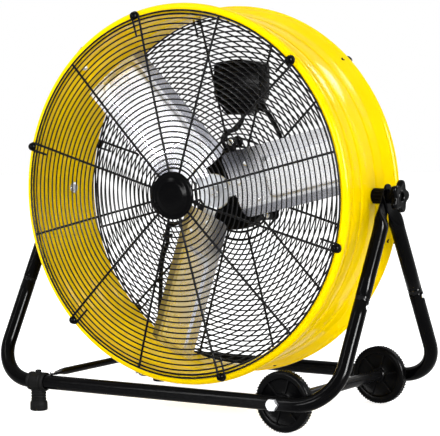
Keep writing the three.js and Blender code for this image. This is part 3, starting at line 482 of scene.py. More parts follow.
def cut(shaped, cutter):
    """Takes a closed cutter out of a piece."""
    name = shaped.name
    shaped.name = name + "_worked"
    knife = mesh_object(name + "_cutter", cutter)
    boolean = shaped.modifiers.new("Cut", "BOOLEAN")
    boolean.operation = "DIFFERENCE"
    boolean.solver = "EXACT"
    boolean.object = knife
    plain = plain_copy(shaped, name)
    bpy.data.objects.remove(knife)
    return plain


def settle(shaped, finish, body, nodes=(), angle=35):
    """Gives a finished piece its shading, finish, slot, body and the nodes that it stands for."""
    shade(shaped, angle)
    shaped.data.materials.clear()
    shaped.data.materials.append(material_named(finish))
    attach(shaped, body)
    if nodes:
        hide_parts(*nodes)
    return shaped


def piece(name, solid, finish, body, nodes=(), angle=35):
    """A closed body as a settled piece."""
    return settle(mesh_object(name, solid), finish, body, nodes, angle)


# ---- geometry node trees ----
class Nodes:
    """The nodes of one tree, with short ways to add and link them."""

    def __init__(self, tree):
        self.tree = tree

    def add(self, kind, settings=None, **inputs):
        node = self.tree.nodes.new(kind)
        for key, value in (settings or {}).items():
            setattr(node, key, value)
        for key, value in inputs.items():
            self.put(node.inputs[key.replace("_", " ")], value)
        return node

    def put(self, socket, value):
        if isinstance(value, bpy.types.NodeSocket):
            self.tree.links.new(value, socket)
        else:
            socket.default_value = value

    def maths(self, operation, first, second):
        node = self.add("ShaderNodeMath", {"operation": operation})
        self.put(node.inputs[0], first)
        self.put(node.inputs[1], second)
        return node.outputs[0]

    def plus(self, first, second):
        return self.maths("ADD", first, second)

    def times(self, first, second):
        return self.maths("MULTIPLY", first, second)


class Tree(Nodes):
    """A geometry node tree with named inputs that ends in realized, painted geometry."""

    def __init__(self, name, inputs):
        super().__init__(bpy.data.node_groups.new(name, "GeometryNodeTree"))
        face = self.tree.interface
        face.new_socket("Geometry", in_out="INPUT", socket_type="NodeSocketGeometry")
        for label, kind in inputs:
            face.new_socket(label, in_out="INPUT", socket_type="NodeSocket" + kind)
        face.new_socket("Material", in_out="INPUT", socket_type="NodeSocketMaterial")
        face.new_socket("Geometry", in_out="OUTPUT", socket_type="NodeSocketGeometry")
        self.given = self.add("NodeGroupInput").outputs

    def vector(self, x, y, z):
        return self.add("ShaderNodeCombineXYZ", X=x, Y=y, Z=z).outputs[0]

    def copies(self, pattern, **inputs):
        """A counted row of points, with an instance of the pattern on each."""
        centre = self.given.get("Centre")
        where = {"Position": centre} if centre else {}
        points = self.add("GeometryNodePoints", Count=self.given["Count"], **where).outputs[0]
        return self.add("GeometryNodeInstanceOnPoints", Points=points, Instance=pattern, **inputs).outputs[0]

    def end(self, geometry):
        realized = self.add("GeometryNodeRealizeInstances", Geometry=geometry).outputs[0]
        smooth = self.add("GeometryNodeSetShadeSmooth", Geometry=realized).outputs[0]
        painted = self.add("GeometryNodeSetMaterial", Geometry=smooth, Material=self.given["Material"])
        leave = self.add("NodeGroupOutput")
        self.put(leave.inputs[0], painted.outputs[0])
        return self.tree


def domed(tree, geometry):
    """Moves flat wires at Y 0 to the guard's plane, with its dome and the drum's height."""
    position = tree.add("GeometryNodeInputPosition").outputs[0]
    parts = tree.add("ShaderNodeSeparateXYZ", Vector=position).outputs
    square = tree.plus(tree.times(parts[0], parts[0]), tree.times(parts[2], parts[2]))
    edge = tree.times(tree.given["Dome Edge"], tree.given["Dome Edge"])
    share = tree.maths("MAXIMUM", tree.maths("SUBTRACT", 1.0, tree.maths("DIVIDE", square, edge)), 0.0)
    y = tree.maths("SUBTRACT", tree.given["Plane"], tree.times(tree.given["Dome Rise"], share))
    place = tree.vector(parts[0], y, tree.plus(parts[2], tree.given["Axis Height"]))
    return tree.add("GeometryNodeSetPosition", Geometry=geometry, Position=place).outputs[0]


GUARD_INPUTS = [
    ("Plane", "Float"),
    ("Dome Rise", "Float"),
    ("Dome Edge", "Float"),
    ("Axis Height", "Float"),
    ("Wire Radius", "Float"),
    ("Count", "Int"),
]


def wound(tree, placed, sides, capped):
    """Lays placed curves on the guard's dome and sweeps a round wire along them."""
    loose = tree.add("GeometryNodeRealizeInstances", Geometry=placed).outputs[0]
    section = tree.add(
        "GeometryNodeCurvePrimitiveCircle", Radius=tree.given["Wire Radius"], Resolution=sides
    ).outputs[0]
    curve = domed(tree, loose)
    swept = tree.add("GeometryNodeCurveToMesh", Curve=curve, Profile_Curve=section, Fill_Caps=capped)
    return tree.end(swept.outputs[0])


def rings_tree():
    """Concentric round wires, a pitch apart from the first radius outwards."""
    tree = Tree(
        "Guard Rings", GUARD_INPUTS + [("First Radius", "Float"), ("Pitch", "Float"), ("Steps", "Int")]
    )
    index = tree.add("GeometryNodeInputIndex").outputs[0]
    radius = tree.plus(tree.given["First Radius"], tree.times(index, tree.given["Pitch"]))
    steps = tree.given["Steps"]
    circle = tree.add("GeometryNodeCurvePrimitiveCircle", Radius=1.0, Resolution=steps).outputs[0]
    upright = (math.pi / 2, 0, 0)
    placed = tree.copies(circle, Rotation=upright, Scale=tree.vector(radius, radius, 1.0))
    return wound(tree, placed, 6, False)


def spokes_tree():
    """Straight wires that lead outwards from the middle, evenly round the axis."""
    tree = Tree(
        "Guard Spokes", GUARD_INPUTS + [("Inner", "Float"), ("Outer", "Float"), ("Start Angle", "Float")]
    )
    start = tree.vector(tree.given["Inner"], 0.0, 0.0)
    end = tree.vector(tree.given["Outer"], 0.0, 0.0)
    line = tree.add("GeometryNodeCurvePrimitiveLine", Start=start, End=end).outputs[0]
    line = tree.add("GeometryNodeResampleCurve", Curve=line, Count=24).outputs[0]
    step = tree.maths("DIVIDE", -2 * math.pi, tree.given["Count"])
    index = tree.add("GeometryNodeInputIndex").outputs[0]
    turn = tree.maths("SUBTRACT", tree.times(index, step), tree.given["Start Angle"])
    return wound(tree, tree.copies(line, Rotation=tree.vector(0.0, turn, 0.0)), 10, True)


def around_tree():
    """Copies of one pattern, evenly stepped round an axis through a centre."""
    inputs = [("Pattern", "Object"), ("Count", "Int"), ("Start", "Float"), ("Step", "Float")]
    tree = Tree("Around An Axis", inputs + [("Axis", "Vector"), ("Centre", "Vector")])
    pattern = tree.add("GeometryNodeObjectInfo", Object=tree.given["Pattern"]).outputs["Geometry"]
    index = tree.add("GeometryNodeInputIndex").outputs[0]
    turn = tree.plus(tree.given["Start"], tree.times(index, tree.given["Step"]))
    spin = tree.add("ShaderNodeVectorMath", {"operation": "SCALE"}, Vector=tree.given["Axis"], Scale=turn)
    return tree.end(tree.copies(pattern, Rotation=spin.outputs[0]))


def places_tree():
    """A copy of one pattern on each point of the mesh that the tree is given."""
    tree = Tree("On Each Place", [("Pattern", "Object")])
    pattern = tree.add("GeometryNodeObjectInfo", Object=tree.given["Pattern"]).outputs["Geometry"]
    placed = tree.add("GeometryNodeInstanceOnPoints", Points=tree.given["Geometry"], Instance=pattern)
    return tree.end(placed.outputs[0])


def tree_named(name, maker):
    return bpy.data.node_groups.get(name) or maker()


def grown(name, tree, values, places=()):
    """The plain mesh that a tree gives with these named inputs."""
    mesh = bpy.data.meshes.new(name + "_seed")
    mesh.from_pydata([tuple(Vector(place) * MM) for place in places], [], [])
    seed = linked(name + "_seed", mesh)
    modifier = seed.modifiers.new("Grow", "NODES")
    modifier.node_group = tree
    for item in tree.interface.items_tree:
        if item.item_type == "SOCKET" and item.in_out == "INPUT" and item.name in values:
            modifier[item.identifier] = values[item.name]
    return plain_copy(seed, name)


def repeated(name, pattern, finish, tree, values, places=()):
    """A pattern repeated by a tree; the pattern's own object goes."""
    source = mesh_object(name + "_pattern", pattern)
    values = {**values, "Pattern": source, "Material": material_named(finish)}
    made = grown(name, tree, values, places)
    bpy.data.objects.remove(source)
    return made


def around(name, pattern, count, start, finish, centre=(0, 0, AXIS_Z), axis=(0, -1, 0), step=None):
    """One pattern, modelled beside a centre at the origin, stepped round an axis in degrees."""
    values = {
        "Count": count,
        "Start": math.radians(start),
        "Step": math.radians(step or 360 / count),
        "Axis": axis,
        "Centre": tuple(Vector(centre) * MM),
    }
    return repeated(name, pattern, finish, tree_named("Around An Axis", around_tree), values)


def on_places(name, pattern, places, finish):
    return repeated(name, pattern, finish, tree_named("On Each Place", places_tree), {}, places)


def joined(name, *parts):
    """Several plain meshes as one."""
    work = bmesh.new()
    for part in parts:
        work.from_mesh(part.data)
        bpy.data.objects.remove(part)
    mesh = bpy.data.meshes.new(name)
    work.to_mesh(mesh)
    work.free()
    return linked(name, mesh)


# ---- shader groups: each puts out masks or heights only ----
class Shading(Nodes):
    """Nodes of one material or shader group."""

    def ranged(self, value, low, high, to_low, to_high):
        node = self.add("ShaderNodeMapRange", {"clamp": True})
        self.put(node.inputs["Value"], value)
        for key, given in (("From Min", low), ("From Max", high), ("To Min", to_low), ("To Max", to_high)):
            self.put(node.inputs[key], given)
        return node.outputs[0]

    def mixed(self, share, first, second):
        node = self.add("ShaderNodeMix", {"data_type": "RGBA"})
        self.put(node.inputs["Factor"], share)
        self.put(node.inputs[6], first)
        self.put(node.inputs[7], second)
        return node.outputs[2]

    def noise(self, place, size, detail, **settings):
        return self.add("ShaderNodeTexNoise", Vector=place, Scale=size, Detail=detail, **settings).outputs[0]

    def effect(self, name, **inputs):
        """The outputs of a shared group, which is made the first time that it is asked for."""
        if name not in bpy.data.node_groups:
            GROUPS[name]()
        return self.add("ShaderNodeGroup", {"node_tree": bpy.data.node_groups[name]}, **inputs).outputs


class Finish(Shading):
    """A Principled material with its nodes, placed by Object coordinates."""

    def __init__(self, name, **constants):
        self.material = bpy.data.materials.new(name)
        self.material.use_nodes = True
        super().__init__(self.material.node_tree)
        self.shader = self.tree.nodes["Principled BSDF"].inputs
        for key, value in constants.items():
            self.shader[key.replace("_", " ")].default_value = value
        self.place = self.add("ShaderNodeTexCoord").outputs["Object"]

    def grain(self, size):
        return self.effect("Fine Grain", Place=self.place, Size=size)

    def scuffs(self, size, amount):
        return self.effect("Scuffs", Place=self.place, Size=size, Amount=amount)["Mask"]

    def edges(self, amount):
        return self.effect("Rubbed Edges", Place=self.place, Amount=amount)["Mask"]

    def dust(self, amount):
        return self.effect("Settled Dust", Place=self.place, Amount=amount)["Mask"]

    def complete(self, colour, rough, height, strength, distance):
        """Links the colour, the roughness and a bump of some height to the shader."""
        self.put(self.shader["Base Color"], colour)
        self.put(self.shader["Roughness"], rough)
        bump = self.add("ShaderNodeBump", Strength=strength, Distance=distance, Height=height)
        self.put(self.shader["Normal"], bump.outputs[0])


def shader_group(name, inputs, outputs):
    group = bpy.data.node_groups.new(name, "ShaderNodeTree")
    for label, kind in inputs:
        group.interface.new_socket(label, in_out="INPUT", socket_type="NodeSocket" + kind)
    for label in outputs:
        group.interface.new_socket(label, in_out="OUTPUT", socket_type="NodeSocketFloat")
    nodes = Shading(group)
    return nodes, nodes.add("NodeGroupInput").outputs, nodes.add("NodeGroupOutput").inputs


def grain_group():
    """Fine even grain at a size: a height, and a tone that varies slowly."""
    nodes, given, out = shader_group(
        "Fine Grain", [("Place", "Vector"), ("Size", "Float")], ["Height", "Tone"]
    )
    fine = nodes.noise(given["Place"], given["Size"], 3.0, Roughness=0.55)
    broad = nodes.noise(given["Place"], nodes.times(given["Size"], 0.03), 4.0, Roughness=0.6)
    nodes.put(out["Height"], fine)
    nodes.put(out["Tone"], nodes.ranged(broad, 0.3, 0.7, 0.0, 1.0))


def scuff_group():
    """Thin scattered scratches, more with a larger amount."""
    inputs = [("Place", "Vector"), ("Size", "Float"), ("Amount", "Float")]
    nodes, given, out = shader_group("Scuffs", inputs, ["Mask"])
    place = given["Place"]
    drift = nodes.add("ShaderNodeMapping", Vector=place, Scale=(1.0, 0.22, 2.2), Rotation=(0.4, 0.2, 0.7))
    lines = nodes.noise(drift.outputs[0], given["Size"], 2.0)
    near = nodes.maths("ABSOLUTE", nodes.maths("SUBTRACT", lines, 0.5), 0.0)
    thin = nodes.ranged(near, 0.0, 0.006, 1.0, 0.0)
    where = nodes.ranged(nodes.noise(place, 14.0, 3.0), 0.56, 0.7, 0.0, 1.0)
    nodes.put(out["Mask"], nodes.times(nodes.times(thin, where), given["Amount"]))


def dust_group():
    """Dust that settles on what faces up, in soft patches."""
    nodes, given, out = shader_group("Settled Dust", [("Place", "Vector"), ("Amount", "Float")], ["Mask"])
    normal = nodes.add("ShaderNodeNewGeometry").outputs["Normal"]
    up = nodes.add("ShaderNodeSeparateXYZ", Vector=normal).outputs[2]
    patch = nodes.noise(given["Place"], 22.0, 5.0, Roughness=0.65)
    level, patchy = nodes.ranged(up, 0.2, 1.0, 0.0, 1.0), nodes.ranged(patch, 0.35, 0.75, 0.2, 1.0)
    nodes.put(out["Mask"], nodes.times(nodes.times(level, patchy), given["Amount"]))


def edge_group():
    """A mask along outer edges, broken up as rubbed paint is."""
    nodes, given, out = shader_group("Rubbed Edges", [("Place", "Vector"), ("Amount", "Float")], ["Mask"])
    point = nodes.add("ShaderNodeNewGeometry").outputs["Pointiness"]
    rub = nodes.noise(given["Place"], 120.0, 3.0)
    sharp = nodes.ranged(point, 0.52, 0.6, 0.0, 1.0)
    nodes.put(out["Mask"], nodes.times(nodes.times(sharp, rub), given["Amount"]))


def brushed_group():
    """Rolled or drawn lines along one direction of a surface."""
    inputs = [("Place", "Vector"), ("Stretch", "Vector"), ("Size", "Float")]
    nodes, given, out = shader_group("Drawn Lines", inputs, ["Height", "Tone"])
    long = nodes.add("ShaderNodeVectorMath", {"operation": "MULTIPLY"})
    nodes.put(long.inputs[0], given["Place"])
    nodes.put(long.inputs[1], given["Stretch"])
    nodes.put(out["Height"], nodes.noise(long.outputs[0], given["Size"], 4.0, Roughness=0.6))
    nodes.put(out["Tone"], nodes.ranged(nodes.noise(given["Place"], 18.0, 3.0), 0.3, 0.7, 0.0, 1.0))


GROUPS = {
    "Fine Grain": grain_group,
    "Scuffs": scuff_group,
    "Settled Dust": dust_group,
    "Rubbed Edges": edge_group,
    "Drawn Lines": brushed_group,
}


def shade_of(colour, share=1.0, lift=0.0):
    """A colour with its alpha, darkened or lightened by a share and lifted a little."""
    red, green, blue = (part * share + lift for part in colour)
    return (red, green, blue, 1.0)


def material_named(key):
    name = "finish_" + key
    if name not in bpy.data.materials:
        MATERIALS[key](name)
    return bpy.data.materials[name]


def drum_paint(name):
    """Bright stoved enamel over pressed steel: glossy, faint orange peel, light handling marks."""
    paint = bpy.context.scene.drum_fan_finishes.drum
    look = Finish(name, Specular_IOR_Level=0.02, IOR=1.5)
    grain, scuffs = look.grain(220.0), look.scuffs(60.0, 0.12)
    tone = look.mixed(look.times(grain["Tone"], 0.35), shade_of(paint), shade_of(paint, 0.86))
    worn = look.mixed(scuffs, tone, (0.9, 0.8, 0.45, 1.0))
    colour = look.mixed(look.dust(0.025), worn, (0.75, 0.7, 0.58, 1.0))
    rough = look.plus(look.ranged(grain["Tone"], 0.0, 1.0, 0.1, 0.14), look.times(scuffs, 0.3))
    look.complete(colour, rough, grain["Height"], 0.18, 0.0006)


def gloss_black(name, paint, rough, peel, size=260.0, shine=0.025):
    """Black stoved paint or plating with a peel, rubbed edges and a little dust."""
    look = Finish(name, Specular_IOR_Level=shine, IOR=1.5)
    grain = look.grain(size)
    marks = look.maths("MAXIMUM", look.edges(0.25), look.scuffs(70.0, 0.12))
    lighter = shade_of(paint, 1.8, 0.0003)
    tone = look.mixed(look.times(grain["Tone"], 0.5), shade_of(paint), lighter)
    worn = look.mixed(marks, tone, (0.08, 0.08, 0.085, 1.0))
    colour = look.mixed(look.dust(0.02), worn, (0.2, 0.19, 0.17, 1.0))
    spread = look.ranged(grain["Tone"], 0.0, 1.0, rough, rough + 0.09)
    look.complete(colour, look.plus(spread, look.times(marks, 0.25)), grain["Height"], peel, 0.0005)


def stand_paint(name):
    gloss_black(name, bpy.context.scene.drum_fan_finishes.stand, 0.1, 0.08)


def guard_paint(name):
    gloss_black(name, bpy.context.scene.drum_fan_finishes.guard, 0.2, 0.1, 400.0, 0.03)


def motor_paint(name):
    """Matt black paint on a sand-cast housing."""
    gloss_black(name, (0.0012, 0.0012, 0.0014), 0.35, 0.5, 600.0)


def moulded(name, plastic, rough, texture, size):
    """Moulded plastic or rubber with an even texture, rubbed smoother where it is handled."""
    look = Finish(name, Specular_IOR_Level=0.03, IOR=1.47)
    grain = look.grain(size)
    tone = look.mixed(look.times(grain["Tone"], 0.6), shade_of(plastic), shade_of(plastic, 1.7, 0.0004))
    worn = look.mixed(look.edges(0.4), tone, shade_of(plastic, 3, 0.012))
    colour = look.mixed(look.dust(0.02), worn, (0.16, 0.155, 0.145, 1.0))
    spread = look.ranged(grain["Tone"], 0.0, 1.0, rough, rough - 0.1)
    look.complete(colour, spread, grain["Height"], texture, 0.0006)


def black_plastic(name):
    moulded(name, (0.0008, 0.0008, 0.001), 0.2, 0.15, 900.0)


def wheel_plastic(name):
    moulded(name, (0.0012, 0.0012, 0.0014), 0.26, 0.4, 700.0)


def foot_rubber(name):
    moulded(name, (0.004, 0.004, 0.004), 0.6, 0.7, 500.0)


def cord_jacket(name):
    moulded(name, (0.002, 0.002, 0.002), 0.4, 0.3, 800.0)


def plug_vinyl(name):
    moulded(name, (0.005, 0.005, 0.005), 0.4, 0.3, 700.0)


def blade_metal(name):
    """Rolled aluminium sheet: faint lines outwards, cloudy oxide, fine scratches, and painted shade laid in
    where the bent sheet would reflect darker.
    """
    sheet = bpy.context.scene.drum_fan_finishes.blade
    look = Finish(name, Metallic=0.85)
    lines = look.effect("Drawn Lines", Place=look.place, Stretch=(0.25, 1.0, 1.0), Size=420.0)
    # painted shade: a dark bluish grey that stands in for the sheet's darker reflections
    painted_shade_colour = shade_of([part * PAINTED_SHADE_TONE * tint for part, tint in zip(sheet, PAINTED_SHADE_TINT)])
    # the share of painted shade at each corner of the blade
    share = look.add("ShaderNodeAttribute", {"attribute_name": PAINTED_SHADE_ATTRIBUTE}).outputs["Fac"]
    rolled = look.mixed(look.times(lines["Tone"], 0.6), shade_of(sheet), shade_of(sheet, 0.88))
    tone = look.mixed(share, rolled, painted_shade_colour)
    colour = look.mixed(look.scuffs(90.0, 0.35), tone, (0.9, 0.91, 0.93, 1.0))
    look.complete(colour, look.ranged(lines["Tone"], 0.0, 1.0, 0.2, 0.3), lines["Height"], 0.05, 0.0004)


def plated(name, metal, rough, cloud):
    """Zinc plating: cloudy crystals, dulled in patches."""
    look = Finish(name, Metallic=0.9)
    crystals = look.add("ShaderNodeTexVoronoi", Vector=look.place, Scale=cloud).outputs["Color"]
    level = look.add("ShaderNodeSeparateColor", Color=crystals).outputs[0]
    tone = look.mixed(look.times(level, 0.4), shade_of(metal), shade_of(metal, 0.7))
    colour = look.mixed(look.edges(0.4), tone, (0.85, 0.86, 0.88, 1.0))
    spread = look.ranged(level, 0.0, 1.0, rough, rough + 0.14)
    look.complete(colour, spread, look.grain(500.0)["Height"], 0.15, 0.0004)


def bright_zinc(name):
    plated(name, (0.62, 0.63, 0.65), 0.22, 260.0)


def spider_zinc(name):
    plated(name, (0.6, 0.62, 0.66), 0.26, 180.0)


def handle_paint(name):
    """Grey hammered paint on strap steel."""
    look = Finish(name, Metallic=0.35)
    grain = look.grain(240.0)
    tone = look.mixed(grain["Tone"], (0.05, 0.052, 0.056, 1.0), (0.085, 0.088, 0.092, 1.0))
    colour = look.mixed(look.edges(0.7), tone, (0.4, 0.4, 0.42, 1.0))
    spread = look.ranged(grain["Height"], 0.35, 0.65, 0.32, 0.48)
    look.complete(colour, spread, grain["Height"], 0.4, 0.0008)


MATERIALS = {
    "drum_yellow": drum_paint,
    "stand_black": stand_paint,
    "wire_black": guard_paint,
    "motor_black": motor_paint,
    "blade_aluminium": blade_metal,
    "bright_zinc": bright_zinc,
    "spider_zinc": spider_zinc,
    "handle_grey": handle_paint,
    "plastic_black": black_plastic,
    "wheel_black": wheel_plastic,
    "foot_rubber": foot_rubber,
    "cord_black": cord_jacket,
    "plug_black": plug_vinyl,
}


# ---- camera and stage ----
WHITE = (1.0, 1.0, 1.0, 1.0)
FLOOR_R = 9000
FLOOR_SEEN = 0.66  # what the floor adds to its lit colour where it is seen


def place_camera():
    turn, rise, roll = (math.radians(a) for a in (CAMERA_TURN, CAMERA_RISE, CAMERA_ROLL))
    back = Vector((math.sin(turn) * math.cos(rise), -math.cos(turn) * math.cos(rise), math.sin(rise)))
    level = Vector((math.cos(turn), math.sin(turn), 0))
    upright = back.cross(level)
    right = level * math.cos(roll) + upright * math.sin(roll)
    up = upright * math.cos(roll) - level * math.sin(roll)
    data = bpy.data.cameras.new("fan_camera")
    data.sensor_width = 36
    data.lens = CAMERA_LENS
    data.clip_end = 50
    camera = linked("fan_camera", data)
    place = Matrix((right, up, back)).transposed().to_4x4()
    place.translation = Vector(CAMERA_AIM) + back * CAMERA_AWAY
    camera.matrix_world = place
    bpy.context.scene.camera = camera


def seen_white(nodes):
    """One where a ray is seen by the camera, a gloss or clear stuff, and nought for the rest."""
    path = nodes.add("ShaderNodeLightPath").outputs
    shiny = nodes.maths("MAXIMUM", path["Is Glossy Ray"], path["Is Transmission Ray"])
    return nodes.maths("MAXIMUM", path["Is Camera Ray"], shiny)


def light_world(stage):
    world = bpy.data.worlds.new("studio")
    bpy.context.scene.world = world
    world.use_nodes = True
    world.node_tree.nodes.clear()
    nodes = Shading(world.node_tree)
    chosen = nodes.add("ShaderNodeMixShader")
    nodes.put(chosen.inputs[0], seen_white(nodes))
    for socket, strength in zip(chosen.inputs[1:], (stage.sky, 1.0)):
        light = nodes.add("ShaderNodeBackground", Color=WHITE, Strength=strength)
        nodes.put(socket, light.outputs[0])
    nodes.add("ShaderNodeOutputWorld", Surface=chosen.outputs[0])


def floor_material():
    """Pale matt floor that reads white where it is lit and keeps the fan's shadow."""
    look = Finish("studio_floor", Roughness=0.9, Emission_Color=WHITE)
    tone = look.mixed(look.grain(90.0)["Tone"], (0.8, 0.8, 0.8, 1.0), (0.82, 0.82, 0.82, 1.0))
    look.put(look.shader["Base Color"], tone)
    look.put(look.shader["Emission Strength"], look.times(seen_white(look), FLOOR_SEEN))
    return look.material


def add_floor():
    count = 96
    corners = [
        Vector((*polar(radius, 360 * i / count), 0)) * MM for radius in (FLOOR_R, 1) for i in range(count)
    ]
    faces = [[i, (i + 1) % count, count + (i + 1) % count, count + i] for i in range(count)]
    faces.append([count + i for i in range(count)])
    mesh = bpy.data.meshes.new("studio_floor")
    mesh.from_pydata([tuple(corner) for corner in corners], [], faces)
    mesh.materials.append(floor_material())
    if mesh.polygons[0].normal.z < 0:
        mesh.flip_normals()
    linked("studio_floor", mesh)


def add_lamp(name, place, aim, size, power, lights=True, seen=True):
    """A soft box that points at aim, which may light without being seen in glosses, or the reverse."""
    data = bpy.data.lights.new(name, "AREA")
    data.shape = "RECTANGLE"
    data.size, data.size_y = size
    data.energy = power
    lamp = linked(name, data)
    lamp.visible_diffuse = lights
    lamp.visible_glossy = seen
    lamp.matrix_world = facing(place, Vector(place) - Vector(aim))


def build_stage(stage):
    light_world(stage)
    add_floor()
    middle = (0, 0, AXIS_Z * MM)
    add_lamp("key_left", (-2.0, -2.8, 2.6), middle, (0.2, 2.4), stage.key)
    add_lamp("strip_right", (3.1, -1.1, 1.6), middle, (0.09, 2.6), stage.fill)
    add_lamp("fill_front", (1.4, -3.2, 0.8), middle, (1.0, 0.8), stage.front, seen=False)
    add_lamp("box_above", (0.85, 3.0, 2.36), (0.22, 0, 0.6), (1.0, 0.6), stage.above)
    add_lamp("glint_front", (-0.4, -3.3, 0.7), middle, (1.2, 0.45), stage.glint, lights=False)
    add_lamp("glint_right", (3.2, -1.0, 1.3), middle, (0.9, 1.6), stage.glint_side, lights=False)
    add_lamp("strip_rear", (1.9, 2.9, 1.9), middle, (0.12, 2.4), stage.fill)
    bpy.context.scene.view_settings.view_transform = "Standard"


# ---- cords ----
def free_route():
    """The stretch from the clip on the drum down to the floor and along to the coil."""
    start = CLIP_Z - CLIP_HALF - 1 - GAP
    corners = [
        (CLIP_X, CLIP_Y, start),
        (CLIP_X, CLIP_Y, start - 2 * CORD_R),
        (-172, 86, 259),
        (-177, 86, 231),
        (-180, 88, 193),
        (-185, 92, 149),
        (-189, 104, 105),
        (-192, 125, 62),
        (-199, 150, 27),
        (-204, 178, 9),
        (-207, 206, CORD_FLOOR),
        (COIL_X + COIL_OUTER, 240, CORD_FLOOR),
        (COIL_X + COIL_OUTER, COIL_Y - 4 * CORD_R, CORD_FLOOR),
        (COIL_X + COIL_OUTER, COIL_Y - 2 * CORD_R, CORD_FLOOR),
    ]
    return [Vector((p.x, p.y, max(p.z, CORD_FLOOR))) for p in even_catmull(corners, 12)]


def coil_point(angle):
    """The middle of the coil's cord: in along one layer, half a turn up, and out along the next."""
    layer_end = 2 * math.pi * COIL_TURNS
    rate = COIL_PITCH / (2 * math.pi)
    inner = COIL_OUTER - rate * layer_end
    radius = COIL_OUTER - rate * angle
    height = CORD_FLOOR
    if angle > layer_end + math.pi:
        radius = inner + rate * (angle - layer_end - math.pi)
        height = CORD_FLOOR + COIL_PITCH
    elif angle > layer_end:
        radius = inner - rate * math.sin(angle - layer_end)
        height = CORD_FLOOR + COIL_PITCH * (1 - math.cos(angle - layer_end)) / 2
    return Vector((COIL_X + radius * math.cos(angle), COIL_Y + radius * math.sin(angle), height))


def coil_route():
    turns = 2 * COIL_TURNS + 0.5
    steps = round(turns * LOOP_STEPS)
    points = [coil_point(2 * math.pi * turns * i / steps) for i in range(steps + 1)]
    last = points[-1]
    for share in (0.34, 0.67, 1.0):
        points.append(last - Vector((0, COIL_TAIL * share, 0)))
    return points


def power_cord():
    plug = power_plug(coil_route()[-1])
    tie = cord_tie()
    path = free_route() + coil_route()
    cord = mesh_object("power_cord_full", tube(path, CORD_R, CORD_SIDES))
    shade(cord, 60)
    cord.data.materials.append(material_named("cord_black"))
    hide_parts("power_cord", "cord_coil")
    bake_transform(cord)


def power_plug(end):
    """A moulded three-pin plug with a ribbed neck, lying beside the coil and facing -Y."""
    place = facing(end - Vector((0, GAP, 0)), (0, -1, 0))
    neck, body, half_x, half_y, pin_x = 14, 7, 12.6, 12.1, 6.35
    rings = []
    for i in range(15):
        share = i / 14
        radius = 5 + 1.2 * share + (0.5 if i % 3 == 1 else 0)
        rings.append(rounded_square(radius, radius, 1.0, neck * share))
    for share in (0.25, 0.5, 0.75, 1.0):
        ease = smooth_step(share)
        swell = (mix(6.2, half_x, ease), mix(6.2, half_y, ease))
        rings.append(rounded_square(*swell, mix(1.0, 0.5, ease), neck + body * share))
    for along, inset in ((30, 0.5), (40, 0), (44.5, 0), (46.4, 0.5), (47, 1.6)):
        rings.append(rounded_square(half_x - inset, half_y - inset, 0.5, along))
    shape = Solid().merge(stacked(rings), place)
    shell = piece("plug_body", shape, "plug_black", "stand", ["power_plug"], 40)
    pins = Solid()
    for x in (-pin_x, pin_x):
        pins.merge(block((1.5, 6.4, 18.5), (x, -3, 47 + 7.75)), place)
    earth = [(0, 46), (2.4, 46), (2.4, 61.5), (1.6, 63.6), (0, 64)]
    pins.merge(turned(earth, 20), place @ Matrix.Translation((0, 6, 0)))
    metal = bevelled(mesh_object("plug_pins", pins), 0.4)
    return [shell, settle(metal, "bright_zinc", "stand")]


def rounded_square(half_x, half_y, roundness, along):
    """A ring from a circle, at roundness 1, to a square with soft corners."""
    power = mix(5.0, 2.0, roundness)
    corners = [squared(power, 360 * i / 32) for i in range(32)]
    return [(half_x * x, half_y * y, along) for x, y in corners]


def cord_tie():
    """A flat plastic band round the coil's turns on their far side."""
    inner = COIL_OUTER - COIL_PITCH * (COIL_TURNS - 0.25) - CORD_R - 3 * GAP
    outer = COIL_OUTER - COIL_PITCH * 0.25 + CORD_R + 2 * GAP
    high = CORD_FLOOR + COIL_PITCH + CORD_R + GAP
    wall = 1.2

    def loop(x, grow, floor):
        corners = [(inner - grow, floor), (outer + grow, floor), (outer + grow, high + grow)]
        corners.append((inner - grow, high + grow))
        return [(COIL_X + x, COIL_Y + y, z) for y, z in corners]

    band = stacked([loop(-4, wall, 0.1), loop(4, wall, 0.1), loop(4, 0, 0.45), loop(-4, 0, 0.45)], "joined")
    band.merge(block((9.4, 5, 3.6), (COIL_X, COIL_Y + (inner + outer) / 2, high + wall + 0.6)))
    return settle(bevelled(mesh_object("cord_tie_band", band), 0.35), "plastic_black", "stand", ["cord_tie"])


SLANT = Vector((BOX_SHOULDER_Z - BOX_FLOOR_Z, BOX_FLOOR_HALF - BOX_HALF)).normalized()
OUTLET_X = BOX_X + (BOX_HALF + BOX_FLOOR_HALF) / 2
OUTLET = Vector((OUTLET_X, BOX_HIGH.y + 9, (BOX_SHOULDER_Z + BOX_FLOOR_Z) / 2))


def outlet_point(distance):
    return OUTLET + Vector((SLANT.x, 0, SLANT.y)) * distance


